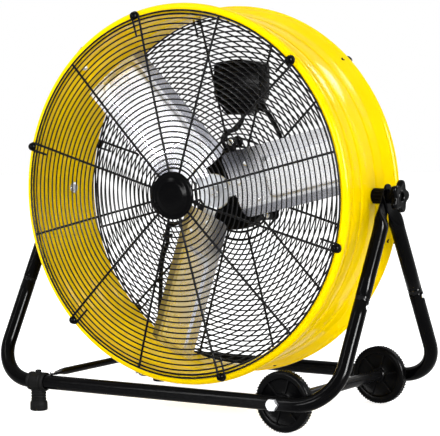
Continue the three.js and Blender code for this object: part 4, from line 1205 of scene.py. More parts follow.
def fixed_leads():
    """The cord from the box round the motor to the clip, and the motor's own lead."""
    corners = [
        outlet_point(14.3),
        outlet_point(22.3),
        (66, 108, AXIS_Z + 108),
        (74, 110, AXIS_Z + 82),
        (69, 109, AXIS_Z + 50),
        (40, 110, AXIS_Z + 14),
        (-4, 110, AXIS_Z - 14),
        (-56, 109, AXIS_Z - 38),
        (-92, 97, AXIS_Z - 52),
        (-120, 88, AXIS_Z - 61),
        (-146, CLIP_Y, AXIS_Z - 69),
        (CLIP_X + 4, CLIP_Y, CLIP_Z + 18),
        (CLIP_X, CLIP_Y, CLIP_Z + CLIP_HALF),
        (CLIP_X, CLIP_Y, CLIP_Z - CLIP_HALF - 1),
    ]
    cord = tube(even_catmull(corners, 7), CORD_R, CORD_SIDES)
    piece("drum_cord", cord, "cord_black", "drum", ["fixed_cord"], 60)
    floor = BOX_FLOOR_Z - GAP
    front = BOX_LOW.y + 8
    corners = [
        (BOX_X + 8, front, floor),
        (BOX_X + 8, front, floor - 8),
        (-8, 87, AXIS_Z + 110),
        (-32, 86, AXIS_Z + 102),
        (-39, 85, AXIS_Z + 90),
        (-31.2, 84, AXIS_Z + 75.8),
        (-28.1, 84, AXIS_Z + 68.2),
    ]
    lead = tube(even_catmull(corners, 5), LEAD_R, CORD_SIDES)
    piece("motor_cable", lead, "cord_black", "drum", ["motor_lead"], 60)


def cord_fittings():
    """The strain relief under the box and the clip on the guard's ring."""
    place = facing(OUTLET, (SLANT.x, 0, SLANT.y))
    profile = [(0, GAP), (9.6, GAP), (10, 0.8), (10, 3.6), (9.6, 4), (8, 4.2)]
    for i in range(5):
        at = 4.6 + 1.9 * i
        radius = 8 - 0.26 * (at - 4)
        profile += [(radius, at), (radius, at + 1.0), (radius - 1.1, at + 1.2), (radius - 1.1, at + 1.7)]
    profile += [(5.2, 14), (0, 14)]
    sleeve = turned(profile, 32, place)
    piece("strain_relief", sleeve, "foot_rubber", "drum", ["cord_grommet"])
    low, high = box_mm("cord_clip")
    clip = bevelled(mesh_object("ring_clip", block(high - low, (low + high) / 2)), 1.4, 3)
    clip = cut(clip, rod(CORD_R + GAP, 8, 24, Matrix.Translation((CLIP_X, CLIP_Y, CLIP_Z))))
    settle(clip, "plastic_black", "drum", ["cord_clip"])


# ---- drum ----
def bead_corners(radius):
    """The pressed beads of a wall, from the front to the rear."""
    corners = []
    for bead in BEADS_Y:
        for i in range(9):
            share = i / 4 - 1
            dip = BEAD_DEPTH * (0.5 + 0.5 * math.cos(math.pi * share))
            corners.append((radius - dip, bead + BEAD_HALF * share))
    return corners


def drum_profile():
    """Radius and Y of the drum's wall with its two rolled lips, beads and rear flare."""
    corners = arc((LIP_R, LIP_Y), LIP_ROLL, -170, 68, 26)
    start = Vector(corners[-1])
    foot = Vector((WALL_R, start.y + 9))
    near, far = start + Vector((-0.93, 0.37)) * 4.5, foot - Vector((0, 4))
    for i in range(1, 9):
        t = i / 8
        bend = start * (1 - t) ** 3 + near * 3 * t * (1 - t) ** 2
        corners.append(bend + far * 3 * t * t * (1 - t) + foot * t ** 3)
    corners += bead_corners(WALL_R)
    rear = arc((REAR_LIP_R, REAR_LIP_Y), REAR_ROLL, -60, 190, 22)
    for i in range(7):
        share = i / 6
        y = mix(FLARE_START_Y, rear[0][1] - 1.5, share)
        corners.append((WALL_R + (rear[0][0] - WALL_R) * smooth_step(share * 0.93), y))
    corners += rear
    inside = WALL_R - SHEET
    corners.append((REAR_LIP_R - REAR_ROLL - SHEET + 1, REAR_LIP_Y - REAR_ROLL))
    corners += [(inside + 0.2, FLARE_START_Y + 6), (inside, FLARE_START_Y)]
    corners += bead_corners(inside)[::-1]
    corners += [(inside, LIP_Y + LIP_ROLL), (corners[0][0] - 0.1, LIP_Y + 3)]
    return [tuple(corner) for corner in corners]


def drum_skin():
    profile = drum_profile()
    skin = turned(profile + profile[:1], 176, DRUM_AXIS)
    piece("drum_skin", skin, "drum_yellow", "drum", ["drum_shell"], 50)
    piece("drum_seam", seam_weld(), "drum_yellow", "drum", (), 50)


def seam_weld():
    """The low rounded weld where the rolled sheet closes, painted over at the drum's underside."""
    half_wide, half_high, sunk, angle = 2.6, 0.9, 0.6, 262
    rings = []
    for y in range(-38, 4, 3):
        ring = []
        for i in range(10):
            a, b = polar(1, 36 * i)
            radius = WALL_R + 0.1 + half_high * b - sunk
            x, z = polar(radius, angle + math.degrees(half_wide * a / WALL_R))
            ring.append((x, y, AXIS_Z + z))
        rings.append(ring)
    return stacked(rings)


def side_screws():
    """The small black screws that come through the flare, beside the rear guard's screws."""
    head = [(0, -0.8), (4.4, -0.8), (4.4, 0.6), (3.6, 1.7), (1.9, 2.3), (1.9, 1.2), (0, 1.2)]
    pattern = turned(head, 18, facing((FLARE_SCREW_R, FLARE_SCREW_Y, 0), (1, 0, 0)))
    screws = around("flare_screws", pattern, SCREW_COUNT, SCREW_ANGLE, "plastic_black")
    settle(screws, "plastic_black", "drum")


# ---- guards ----
def guard_values(plane, rise, radius, count):
    return {
        "Plane": plane * MM,
        "Dome Rise": rise * MM,
        "Dome Edge": DOME_EDGE_R * MM,
        "Axis Height": AXIS_Z * MM,
        "Wire Radius": radius,
        "Count": count,
        "Material": material_named("wire_black"),
    }


def guard_rings(name, plane, rise, first, count, pitch, radius):
    values = guard_values(plane, rise, radius, count)
    values.update({"First Radius": first, "Pitch": pitch, "Steps": RING_STEPS})
    return grown(name, tree_named("Guard Rings", rings_tree), values)


def guard_spokes(name, plane, rise, inner, radius):
    values = guard_values(plane, rise, radius, SPOKE_COUNT)
    values.update({"Inner": inner * MM, "Outer": SPOKE_END_R * MM, "Start Angle": math.radians(SPOKE_ANGLE)})
    return grown(name, tree_named("Guard Spokes", spokes_tree), values)


def guard_edge(end, plane, rim_plane, rise, inner, heavy):
    """A guard's rim of two rings, its spokes from an inner radius, and their loops round its screws."""
    return [
        guard_rings(f"{end}_rim", rim_plane, 0, RIM_R * MM, 2, RIM_PITCH * MM, heavy * 0.85),
        guard_spokes(f"{end}_spokes", plane, rise, inner, heavy),
        around(f"{end}_loops", screw_loop(plane), SCREW_COUNT, SCREW_ANGLE, "wire_black"),
    ]


def screw_loop(plane):
    """A spoke's end bent round its screw and back inwards, beside a screw at angle 0."""
    half = 6.6
    path = [Vector((GUARD_EDGE_R - 2, plane, -half))]
    for i in range(13):
        a, b = polar(half, -90 + 15 * i)
        path.append(Vector((LIP_R + a, plane, b)))
    path.append(Vector((LIP_R - 34, plane, half)))
    return tube(path, 1.9, 10)


def front_guard(sizes):
    plane = DRUM_FRONT_Y - GAP - 1.4
    ring, heavy = sizes.ring_wire / 2, sizes.spoke_wire / 2
    count, pitch = sizes.ring_count, sizes.ring_pitch
    disc = [(0, -0.9), (39.4, -0.9), (40, -0.3), (40, 0.5), (39, 1), (0, 1)]
    parts = [
        guard_rings("front_rings", plane - 1.6, DOME, sizes.first_ring, count, pitch, ring),
        guard_rings("front_hub_ring", plane - 1.4, DOME, HUB_RING_R * MM, 1, 0, ring * 1.3),
        *guard_edge("front", plane, plane - 0.6, DOME, 30, heavy),
        mesh_object("front_disc", turned(raised(plane - DOME - 0.6, disc), 64, DRUM_AXIS)),
    ]
    settle(joined("front_guard", *parts), "wire_black", "drum", ["front_grille"], 50)


def rear_guard(sizes):
    plane = DRUM_REAR_Y + GAP + 1.8
    ring, heavy, pitch = sizes.ring_wire / 2, sizes.spoke_wire / 2, sizes.ring_pitch
    inner = math.ceil((MOUNT_PLATE_R * MM - sizes.first_ring) / pitch)
    first = sizes.first_ring + inner * pitch
    parts = [
        guard_rings("rear_rings", plane + 1.7, 0, first, sizes.ring_count - inner, pitch, ring),
        guard_rings("rear_mount_ring", plane + 1.7, 0, first - pitch, 1, 0, ring),
        *guard_edge("rear", plane, plane, 0, MOUNT_HOLE_R, heavy),
        mount_plate(plane),
    ]
    settle(joined("rear_guard", *parts), "wire_black", "drum", ["rear_grille"], 50)


def mount_plate(plane):
    """The two heavy rings and the three seats that the motor's posts stand on."""
    low, high, wire = plane - 1.2, plane + 0.6, 2.2
    mount = Solid()
    for radius in (MOUNT_HOLE_R + wire, MOUNT_PLATE_R - wire):
        ring = [(radius + a, plane + b) for a, b in round_section(wire, 10)]
        mount.merge(turned(ring + ring[:1], 96, DRUM_AXIS))
    post = [(0, BELL_REAR_Y + GAP), (8.4, BELL_REAR_Y + GAP), (9, BELL_REAR_Y + 1), (9, low), (11, low)]
    post += [(11, high + 0.4), (0, high + 0.4)]
    nut = [(0, -0.2), (6.4, -0.2), (6.4, 1.2), (5.6, 1.9), (0, 1.9)]
    for angle in LUG_ANGLES:
        x, z = polar(LUG_R, angle)
        seat = Matrix.Translation((x, 0, z)) @ DRUM_AXIS
        mount.merge(turned(post, 32, seat))
        mount.merge(turned(raised(high, nut), 6, seat))
    return mesh_object("mount_seats", mount)


def ball_cap(seat, outward):
    """A ball nut on its short shank, beside the axis at angle 0, with a flat collar."""
    rise = 4.8
    profile = [(0, 0), (2.5, 0), (2.5, rise - 1.6), (5.6, rise - 1.6), (6.1, rise - 1.2), (6.1, rise - 0.2)]
    profile += raised(rise, arc((0, 0), BALL_R, 4, 90, 12))
    profile[-1] = (0, rise + BALL_R)
    return turned(profile, 24, facing((LIP_R, seat, 0), (0, outward, 0)))


def guard_screws():
    pattern = ball_cap(DRUM_FRONT_Y - GAP, -1)
    pattern.merge(ball_cap(DRUM_REAR_Y + GAP, 1))
    caps = around("guard_ball_nuts", pattern, SCREW_COUNT, SCREW_ANGLE, "plastic_black")
    nodes = [f"{side}_grille_screw_{i}" for side in ("front", "rear") for i in range(1, SCREW_COUNT + 1)]
    settle(caps, "plastic_black", "drum", nodes, 50)


def hub_cap():
    """The black cap over the front guard's middle: a rounded rim, a shallow dish and a raised centre."""
    low, high = box_mm("hub_cap")
    back, front = high.y, low.y
    radius = (high.x - low.x) / 2
    profile = [(0, back), (radius - 0.6, back), (radius, back - 0.6), (radius, back - 3)]
    profile += arc((radius - 3, back - 3), 3, 0, -90, 6)
    profile += [(radius - 6, back - 5.8), (radius - 9, back - 5.2), (radius - 11.5, back - 5.6)]
    profile += [(radius - 15, front + 0.9), (radius - 19, front + 0.15), (10, front + 0.3), (0, front + 0.4)]
    piece("hub_cap_cover", turned(profile, 72, DRUM_AXIS), "plastic_black", "drum", ["hub_cap"], 45)


# ---- rotor ----
def blade_place(degrees):
    """Carries a blade drawn along +Z to its angle; +X of the drawing is clockwise from the front."""
    return Matrix.Translation((0, 0, AXIS_Z)) @ Matrix.Rotation(math.radians(90 - degrees), 4, "Y")


def blade_plane(t, r):
    return BLADE_Y + BLADE_RAKE * (r - BLADE_ROOT) + BLADE_SLOPE * t


def blade_surface(t, r):
    """Y of a blade's middle: its slope, with a pressed panel that has rounded corners inside a border."""
    corner = 16
    across = BLADE_HALF - PANEL_SIDE - abs(t) - corner
    along = min(r - PANEL_ROOT + PANEL_SKEW * t, BLADE_TIP - PANEL_TIP - r) - corner
    inside = min(across, along) if min(across, along) > 0 else -math.hypot(min(0, across), min(0, along))
    return blade_plane(t, r) + PANEL_DEPTH * smooth_step((inside + corner) / PANEL_STEP)


def blade_half(r):
    """Half the blade's width at a radius: rounded in at the root."""
    short = max(0.0, BLADE_CORNER - (r - BLADE_ROOT))
    return BLADE_HALF - BLADE_CORNER + math.sqrt(max(0.0, BLADE_CORNER ** 2 - short ** 2))


def blade_solid():
    columns, rows = 64, 96
    front, back = [], []
    for row in range(rows + 1):
        share = row / rows
        for column in range(columns + 1):
            u = 2 * column / columns - 1
            tip = math.sqrt(BLADE_TIP ** 2 - (u * BLADE_HALF) ** 2)
            r = mix(BLADE_ROOT, tip, share if row > 8 else share * share * rows / 8)
            t = u * blade_half(r)
            y = blade_surface(t, r)
            front.append((t, y - BLADE_SHEET / 2, r))
            back.append((t, y + BLADE_SHEET / 2, r))
    wide = columns + 1
    count = len(front)
    faces = []
    for row in range(rows):
        for column in range(columns):
            a = row * wide + column
            faces.append([a, a + 1, a + 1 + wide, a + wide])
            faces.append([count + a, count + a + wide, count + a + 1 + wide, count + a + 1])
    border = [column for column in range(wide)]
    border += [row * wide + columns for row in range(1, rows + 1)]
    border += [rows * wide + column for column in range(columns - 1, -1, -1)]
    border += [row * wide for row in range(rows - 1, 0, -1)]
    for a, b in zip(border, border[1:] + border[:1]):
        faces.append([a, b, count + b, count + a])
    return Solid().add(front + back, faces)


def grey_share(t, r):
    """How much painted shade is laid in: round the panel, along the leading border and over half of the root,
    where the sheet would reflect darker.
    """
    border = 0.85 * smooth_step((t - BLADE_HALF + PANEL_SIDE - 2) / 3)
    root = smooth_step((140 - r) / 60) * smooth_step((12 - t) / 55)
    pressed = (blade_surface(t, r) - blade_plane(t, r)) / PANEL_DEPTH
    step = 1 - abs(2 * pressed - 1)
    return max(border, root, 0.25 * (1 - pressed), 0.7 * step)


def mark_painted_shade(shaped, place):
    """Writes the share of painted shade at each corner of a blade as an attribute of its mesh."""
    back = place.inverted()
    share = shaped.data.attributes.new(PAINTED_SHADE_ATTRIBUTE, "FLOAT", "POINT")
    for corner, value in zip(shaped.data.vertices, share.data):
        drawn = back @ (corner.co / MM)
        value.value = grey_share(drawn.x, drawn.z)


def blades():
    for i, degrees in enumerate(BLADE_ANGLES):
        place = blade_place(degrees)
        shaped = mesh_object(f"blade_sheet_{i + 1}", Solid().merge(blade_solid(), place))
        # painted shade for the blade's colour, written as an attribute
        mark_painted_shade(shaped, place)
        settle(shaped, "blade_aluminium", "rotor", [f"blade_{i + 1}"], 40)


def arm_half(r):
    """Half an arm's width: a fillet from the hub's plate, a neck, and a wide end behind the blade."""
    if r < 34:
        return ARM_NECK_HALF + 0.3 * (34 - r) ** 2 / 14
    return mix(ARM_NECK_HALF, 44, smooth_step((r - 48) / 24)) - 12 * smooth_step((r - 88) / 14)


def arm_surface(t, r):
    """Y of an arm's middle: level at the hub's plate and turned to the blade's slope at its root."""
    level = HUB_FRONT_Y + HUB_PLATE / 2
    behind = blade_plane(t, r) + BLADE_SHEET / 2 + GAP + ARM_SHEET / 2
    return mix(level, behind, smooth_step((r - 24) / (BLADE_ROOT - 2 - 24)))


def spider_arm():
    """One arm of the spider as a pressed sheet between the hub's plate and its blade."""
    rows, columns = 40, 16
    rings = []
    for row in range(rows + 1):
        r = mix(ARM_ROOT, 102, row / rows)
        half = arm_half(r)
        rise = [half * (2 * i / columns - 1) for i in range(columns + 1)]
        front = [(t, arm_surface(t, r) - ARM_SHEET / 2, r) for t in rise]
        back = [(t, arm_surface(t, r) + ARM_SHEET / 2, r) for t in rise[::-1]]
        rings.append(front + back)
    return stacked(rings)


def spider():
    """The hub and its plate, with an arm riveted behind each blade."""
    bore, rear = SHAFT_R + GAP, 45
    hub = [(bore, 0), (31, 0), (32, 1), (32, HUB_PLATE - 1), (31, HUB_PLATE), (19, HUB_PLATE)]
    hub += [
        (15.6, HUB_PLATE + 2.4), (15, HUB_PLATE + 5), (15, rear - 1.4), (13.6, rear), (bore, rear),
        (bore, 0)
    ]
    body = mesh_object("spider_hub", turned(raised(HUB_FRONT_Y, hub), 64, DRUM_AXIS))
    arms = around("spider_arms", spider_arm(), 3, 0, "spider_zinc")
    arms.data.transform(spin_about_axis(90 - BLADE_ANGLES[0]))
    whole = joined("spider_pressing", body, arms)
    settle(whole, "spider_zinc", "rotor", ["blade_spider"])


def spin_about_axis(degrees):
    up = Matrix.Translation((0, 0, AXIS_Z * MM))
    return up @ Matrix.Rotation(math.radians(degrees), 4, "Y") @ up.inverted()


def rivet(t, r, surface, radius, side=1):
    """A domed rivet head on the front of an arm or blade, square to the twist."""
    head = [(0, 0), *((a, 0.55 * b) for a, b in arc((0, 0), radius, 0, 90, 6))]
    head[-1] = (0, 0.55 * radius)
    out = Vector((BLADE_SLOPE, -1, BLADE_RAKE)) * side
    return turned(head, 16, facing((t, surface(t, r), r), out))


def rotor_fixings():
    """Three rivets through each blade and its arm, and a screw between them through the hub's plate."""
    pattern = Solid()
    for t, r in ((-3, 57), (-33, 86), (32, 84)):
        pattern.merge(rivet(t, r, lambda a, b: blade_surface(a, b) - BLADE_SHEET / 2, 4.2))
        pattern.merge(
            rivet(t, r, lambda a, b: blade_surface(a, b) + BLADE_SHEET / 2 + GAP + ARM_SHEET, 4.2, -1)
        )
    pattern.merge(rivet(0, 24, lambda a, b: HUB_FRONT_Y + 0.4, 2.6))
    rivets = around("blade_rivets", pattern, 3, 0, "bright_zinc")
    rivets.data.transform(spin_about_axis(90 - BLADE_ANGLES[0]))
    settle(rivets, "bright_zinc", "rotor", (), 40)


def hexagon(radius, from_y, to_y, bore=0.0):
    """A chamfered hexagon on the drum's axis, with a round bore where one is given."""
    rings = []
    for y, share in ((from_y, 0.9), (from_y + 0.9, 1.0), (to_y - 0.9, 1.0), (to_y, 0.9)):
        rings.append([hexagon_corner(radius, share, 7.5 * i, y) for i in range(48)])
    if not bore:
        return stacked(rings, "pointed")
    rings += [[(*polar(bore, 7.5 * i), y) for i in range(48)] for y in (to_y, from_y)]
    return stacked(rings, "joined")


def hexagon_corner(radius, share, angle, y):
    flat = radius * math.cos(math.radians(30)) / math.cos(math.radians((angle % 60) - 30))
    return (*polar(min(flat, radius * share), angle), y)


def shaft_and_nut():
    low, high = box_mm("motor_shaft")
    profile = [(0, low.y), (SHAFT_R - 1, low.y), (SHAFT_R, low.y + 1), (SHAFT_R, high.y - 0.6)]
    profile += [(SHAFT_R - 0.6, high.y), (0, high.y)]
    piece("steel_shaft", turned(profile, 32, DRUM_AXIS), "bright_zinc", "rotor", ["motor_shaft"])
    low, high = box_mm("hub_nut")
    nut = Solid().merge(hexagon(12, low.y, high.y, SHAFT_R + 0.15), DRUM_AXIS)
    piece("shaft_nut", nut, "bright_zinc", "rotor", ["hub_nut"])


# ---- motor ----
def motor():
    """The cast front bell with its three lugs, and the finned housing behind it."""
    bore = SHAFT_R + 0.5
    dish = [(bore, 0), (20, 0), (22, 0.8), (25, 3), (44, 3.4), (47, 2.6), (51, 2.6), (54, 3.6), (62, 4.2)]
    dish += [(68, 6), (MOTOR_R - 0.8, 9), (MOTOR_R, 11)]
    profile = raised(BELL_FRONT_Y, dish) + [(MOTOR_R, BELL_REAR_Y), (bore, BELL_REAR_Y), (bore, BELL_FRONT_Y)]
    lug = raised(BELL_REAR_Y, [(0, -8), (8, -8), (9, -7), (9, 0), (0, 0)])
    ear = turned(lug, 32, rearward(LUG_R, 0, 0))
    ear.merge(block((22, 7.6, 14), ((LUG_R + MOTOR_R - 8) / 2, BELL_REAR_Y - 4, 0)))
    ear.merge(block((34, 2.4, 3), (46, BELL_FRONT_Y + 3.6, 0)))
    ears = around("bell_ears", ear, 3, LUG_ANGLES[0], "motor_black")
    bell = joined("motor_bell_cast", mesh_object("bell_dish", turned(profile, 64, DRUM_AXIS)), ears)
    settle(bell, "motor_black", "drum", ["motor_front_bell"])
    motor_bolts()
    motor_back(bore)


def motor_bolts():
    head = [(0, 0), (5.6, 0), (5.9, 0.4), (5.9, 1.0), (4.6, 1.2), (4.6, 3.6), (3.9, 4.4), (2.0, 4.4)]
    head += [(2.0, 2.6), (0, 2.6)]
    pattern = turned(head, 20, facing((LUG_R, BELL_REAR_Y - 8, 0), (0, -1, 0)))
    settle(around("motor_lug_bolts", pattern, 3, LUG_ANGLES[0], "bright_zinc"), "bright_zinc", "drum")


def motor_back(bore):
    front = BELL_REAR_Y + GAP
    rear = MOTOR_REAR_Y
    core = MOTOR_R - 3.5
    profile = [
        (0, rear - 8), (bore, rear - 8), (bore, front), (MOTOR_R, front), (MOTOR_R, front + 4),
        (core, front + 5)
    ]
    back = [
        (core, -10), (core - 1.2, -6.5), (core - 5, -3), (core - 9, -2), (34, -2.2), (31, -3.6),
        (27, -3.6)
    ]
    profile += raised(rear, back + [(24, -2), (20, 0), (4, 0), (0, 0)])
    shell = mesh_object("housing_shell", turned(profile, 64, DRUM_AXIS))
    fin = stacked([
        [(core - 1, y, -h), (core - 1, y, h), (reach, y, h * 0.6), (reach, y, -h * 0.6)]
        for y, h, reach in ((front + 3, 1.2, MOTOR_R), (rear - 15, 1.2, MOTOR_R), (rear - 8, 1.0, core + 0.2))
    ])
    fins = around("housing_fins", fin, 36, 0, "motor_black")
    ribs = around("housing_ribs", block((26, 1.6, 2.2), (48, rear - 2, 0)), 12, 15, "motor_black")
    settle(joined("motor_back_cast", shell, fins, ribs), "motor_black", "drum", ["motor_housing"])


# ---- control box ----
def box_outline(inset):
    half, low = BOX_HALF - inset, BOX_FLOOR_HALF - inset / 2
    top, floor = BOX_TOP_Z - inset, BOX_FLOOR_Z + inset
    corners = [(0, floor), (low, floor), (half, BOX_SHOULDER_Z), (half, top - 4), (0, top + 2.6)]
    corners += [(-half, top - 4), (-half, BOX_SHOULDER_Z), (-low, floor), (0, floor)]
    return [(BOX_X + p.x, p.y) for p in eased(corners, 7, 4)[:-1]]


def box_shell(name, levels):
    """A shell of the box through outlines set in by some amount at each Y."""
    return mesh_object(name, stacked([[(x, y, z) for x, z in box_outline(inset)] for y, inset in levels]))


def control_box():
    front, split, rear = BOX_LOW.y, BOX_HIGH.y, LID_HIGH.y
    wall = 2.5
    levels = [
        (front, 1.6), (front + 0.6, 0.5), (front + 1.6, 0), (split - 0.6, 0), (split, 0.5), (split, wall)
    ]
    levels.append((front + wall, wall))
    settle(box_shell("control_box_shell", levels), "plastic_black", "drum", ["control_box_base"])
    seat = split + GAP
    levels = [(front + wall + 22, wall), (seat, wall), (seat, 0.5), (seat + 0.6, 0), (rear - 1.8, 0)]
    levels += [(rear - 0.6, 0.6), (rear, 1.9), (rear, 5), (rear - 0.8, 5.8)]
    lid = cut(box_shell("control_box_cover", levels), rod(4.3, 14, 24, rearward(BOX_X, rear, KNOB_Z)))
    settle(lid, "plastic_black", "drum", ["control_box_lid"])
    box_screws("box_front_screws", -1, front, 611, 531, "stand_black")
    box_screws("box_back_screws", 1, rear - 0.8, 609, 536, "bright_zinc")
    dial_marks(rear)


def box_screws(name, outward, y, high, low, finish):
    """Cross-head screws at the corners of the box's front or back."""
    head = [(0, 0.0), (3.4, 0.0), (3.4, 0.7), (2.8, 1.4), (1.2, 1.7), (1.0, 0.8), (0, 0.8)]
    pattern = turned(head, 18, facing((0, 0, 0), (0, outward, 0)))
    places = [(BOX_X + x, y, z) for x, z in ((-38, high), (38, high), (0, low))]
    settle(on_places(name, pattern, places, finish), finish, "drum")


def dial_marks(rear):
    """Plain raised ticks round the knob on a shallow raised ring."""
    centre = (BOX_X, rear - 0.7, KNOB_Z)
    tick = block((1.4, 0.7, 5), (0, 0, 24.5))
    ticks = around("dial_ticks", tick, 3, 0, "plastic_black", centre, axis=(0, 1, 0), step=45)
    ring = [(19.6, -0.3), (20.8, -0.3), (20.8, 0.5), (20.2, 0.8), (19.6, 0.5), (19.6, -0.3)]
    bead = mesh_object("dial_bead", turned(ring, 64, rearward(*centre)))
    settle(joined("dial_ring", ticks, bead), "plastic_black", "drum")


def speed_knob():
    """A fluted knob with a grip bar and a pointer line, on its stem."""
    low, high = box_mm("speed_knob")
    seat = LID_HIGH.y + GAP
    stem = [(0, low.y), (3.6, low.y), (4, low.y + 0.5), (4, seat)]
    dial = raised(seat, [(16.2, 0), (17, 0.8), (16.6, 4.8), (15.8, 6), (14, 7), (0, 7)])
    knob = turned(stem + dial, 48, rearward(BOX_X, 0, KNOB_Z))
    grip = []
    for y, half_x, half_z in (
        (seat + 5, 4.4, 14.6), (seat + 10, 4.0, 14.2), (high.y - 1.2, 3.4, 13.6), (high.y, 2.2, 12.4)
    ):
        grip.append([(BOX_X + half_x * c, y, KNOB_Z + half_z * d) for c, d in round_section(1, 24)])
    knob.merge(stacked(grip))
    flute = turned(raised(seat, [(0, 1), (0.9, 1), (0.9, 5.4), (0, 5.8)]), 8, rearward(16.5, 0, 0))
    flutes = around("knob_flutes", flute, 24, 7.5, "plastic_black", (BOX_X, 0, KNOB_Z))
    whole = joined("speed_dial_knob", mesh_object("knob_body", knob), flutes)
    settle(whole, "plastic_black", "speed_knob", ["speed_knob"])
    line = block((1.3, 0.5, 9), (BOX_X, high.y - 0.1, KNOB_Z + 6.5))
    piece("knob_pointer", line, "bright_zinc", "speed_knob")


# ---- handle ----
def carry_handle():
    """A bent strap with outward feet, bolted to the drum's wall."""
    half = 1.5
    low, front, rear = WALL_R + GAP, HANDLE_FRONT_Y, HANDLE_REAR_Y
    foot_r, grip_r = low + half, low + HANDLE_REACH - half
    path = [(front - HANDLE_FOOT, foot_r), (front - half, foot_r), (front - half, grip_r)]
    path += [(rear + half, grip_r), (rear + half, foot_r), (rear + HANDLE_FOOT, foot_r)]
    outward = Vector((*polar(1, HANDLE_ANGLE), 0)).xzy
    across = Vector((-outward.z, 0, outward.x))

    def lift(y, r, out):
        return Vector((0, y, AXIS_Z)) + outward * r + across * out

    section = [
        (-half, -14.4), (-half, 14.4), (-0.9, 15), (0.9, 15), (half, 14.4), (half, -14.4), (0.9, -15),
        (-0.9, -15)
    ]
    strap = planar_sweep(eased(path, 7, 7), lift, section)
    piece("handle_strap", strap, "handle_grey", "drum", ["drum_handle"], 40)
    bolts = Solid()
    head = [(0, 0), (5.2, 0), (5.2, 1), (4.2, 2.6), (2.2, 3.3), (0, 3.5)]
    for y in (front - 12, rear + 12):
        bolts.merge(turned(head, 20, facing(lift(y, low + 2 * half, 0), outward)))
        bolts.merge(turned(head, 20, facing(lift(y, WALL_R - SHEET, 0), -outward)))
    piece("handle_bolts", bolts, "bright_zinc", "drum", (), 40)


# ---- pivots ----
def side_name(side):
    return "right" if side > 0 else "left"


def pivot(side):
    """The ribbed spacer between the drum and the legs, and the bolt through them."""
    name = side_name(side)
    axis = sideways(0, 0, AXIS_Z, side)
    start, end = WALL_R + GAP, PLATE_X - PLATE - 1.5 * GAP
    profile = raised(start, [(BOLT_HOLE_R, 0), (13, 0), (13.5, 0.6), (13.5, 3), (12.2, 3.6)])
    profile += raised(end, [(12.2, -4), (13.5, -3.4), (13.5, -0.6), (13, 0), (BOLT_HOLE_R, 0)])
    sleeve = mesh_object(name + "_spacer_body", turned(profile + profile[:1], 48, axis))
    rib = block((2.6, 2.4, end - start - 7), (12.1, 0, (start + end) / 2), sideways(0, 0, 0, side))
    ribs = around(name + "_spacer_ribs", rib, 14, 0, "plastic_black", axis=(1, 0, 0))
    settle(joined(name + "_spacer", sleeve, ribs), "plastic_black", "drum", [f"{name}_pivot_spacer"])
    seat = WALL_R - SHEET - 4 * GAP
    tip = STAR_X + 17.3
    head = [(0, -4.5), (5, -4.4), (8.4, -3.4), (10.4, -1.8), (11, -0.5), (11, 0), (5, 0), (5, 22)]
    profile = raised(seat, head)
    at = seat + 22
    while at < tip - 2:
        profile += [(4.6, at + THREAD / 2), (5, at + THREAD)]
        at += THREAD
    profile += [(5, tip - 0.8), (4.2, tip), (0, tip)]
    bolt = turned(profile, 32, axis)
    piece(name + "_carriage_bolt", bolt, "bright_zinc", "drum", [f"{name}_pivot_bolt"])


def side_ring(radius_at, along, side):
    """A ring round the pivots' axis, with a radius for each angle."""
    ring = []
    for i in range(120):
        a, b = polar(radius_at(3 * i), 3 * i)
        ring.append(Vector((side * along, side * a, AXIS_Z + b)))
    return ring


def star_ring(inset, along, side):
    """A five-lobed ring; the right knob's lobes stand as the photograph shows."""
    return side_ring(
        lambda angle: 24.8 + 4.2 * math.cos(math.radians(5 * (angle - 147))) - inset, along, side
    )


def circle_ring(radius, along, side):
    return side_ring(lambda angle: radius, along, side)


def star_knob(side):
    name = side_name(side)
    back = STAR_X + 14.5
    front = back + 10

    def circles(*pairs):
        return [circle_ring(radius, along, side) for radius, along in pairs]

    def stars(*pairs):
        return [star_ring(inset, along, side) for inset, along in pairs]

    def between(first, last, shares):
        return [[a.lerp(b, share) for a, b in zip(first, last)] for share in shares]

    rings = circles((5.3, STAR_X), (11.8, STAR_X), (12.5, STAR_X + 0.7), (12.2, back - 1.5), (13.5, back))
    rings += between(rings[-1], star_ring(2.6, back, side), (0.35, 0.7))
    rings += stars((2.6, back), (1.1, back + 0.6), (0.2, back + 2), (0, back + 4))
    rings += stars((0, front - 4), (0.3, front - 2), (1.3, front - 0.6), (3.0, front))
    rings += between(rings[-1], circle_ring(11.4, front - 0.6, side), (0.35, 0.75))
    rings += circles(
        (10.8, front - 0.6), (10.2, front), (8.6, front), (8, front - 0.6), (8, front - 4),
        (5.3, front - 4)
    )
    knob = stacked(rings, "joined")
    piece(name + "_star_grip", knob, "plastic_black", f"{name}_star_knob", [f"{name}_star_knob"], 40)


# ---- stand ----
def on_slope(x, s, out):
    """A place on the front leg plane: x across, s up its slope, out square to it."""
    return Vector((x, -BASE_Y + s * LEAN_Y - out * LEAN_Z, BASE_Z + s * LEAN_Z + out * LEAN_Y))


def at_end(end, solid):
    """A body drawn for the front, or its mirror image for the rear."""
    if end == "front":
        return solid
    return Solid().add([Vector((c.x, -c.y, c.z)) for c in solid.corners], solid.faces)


def base_path():
    """The U of a base tube in its slope, from the left joint down, across and up to the right joint."""
    rise = [BEND_R + 30, *(JOINT_RISE - drop for drop in (30, 6.4, 5.2, 4, 0))]
    path = [(-STAND_X, s) for s in rise[::-1]]
    path += arc((-STAND_X + BEND_R, BEND_R), BEND_R, 180, 270, 22)
    path += arc((STAND_X - BEND_R, BEND_R), BEND_R, 270, 360, 22)
    return path + [(STAND_X, s) for s in rise]


def base_tube_solid():
    path = base_path()
    narrow = {0: -0.5, 2: -0.9, len(path) - 3: -0.9, len(path) - 1: -0.5}
    return planar_sweep(path, on_slope, lambda i: round_section(TUBE_R + narrow.get(i, 0), 36))


def axle_bore():
    return rod(AXLE_BORE_R, 20, 32, rearward(WHEEL_X, -BASE_Y, BASE_Z))


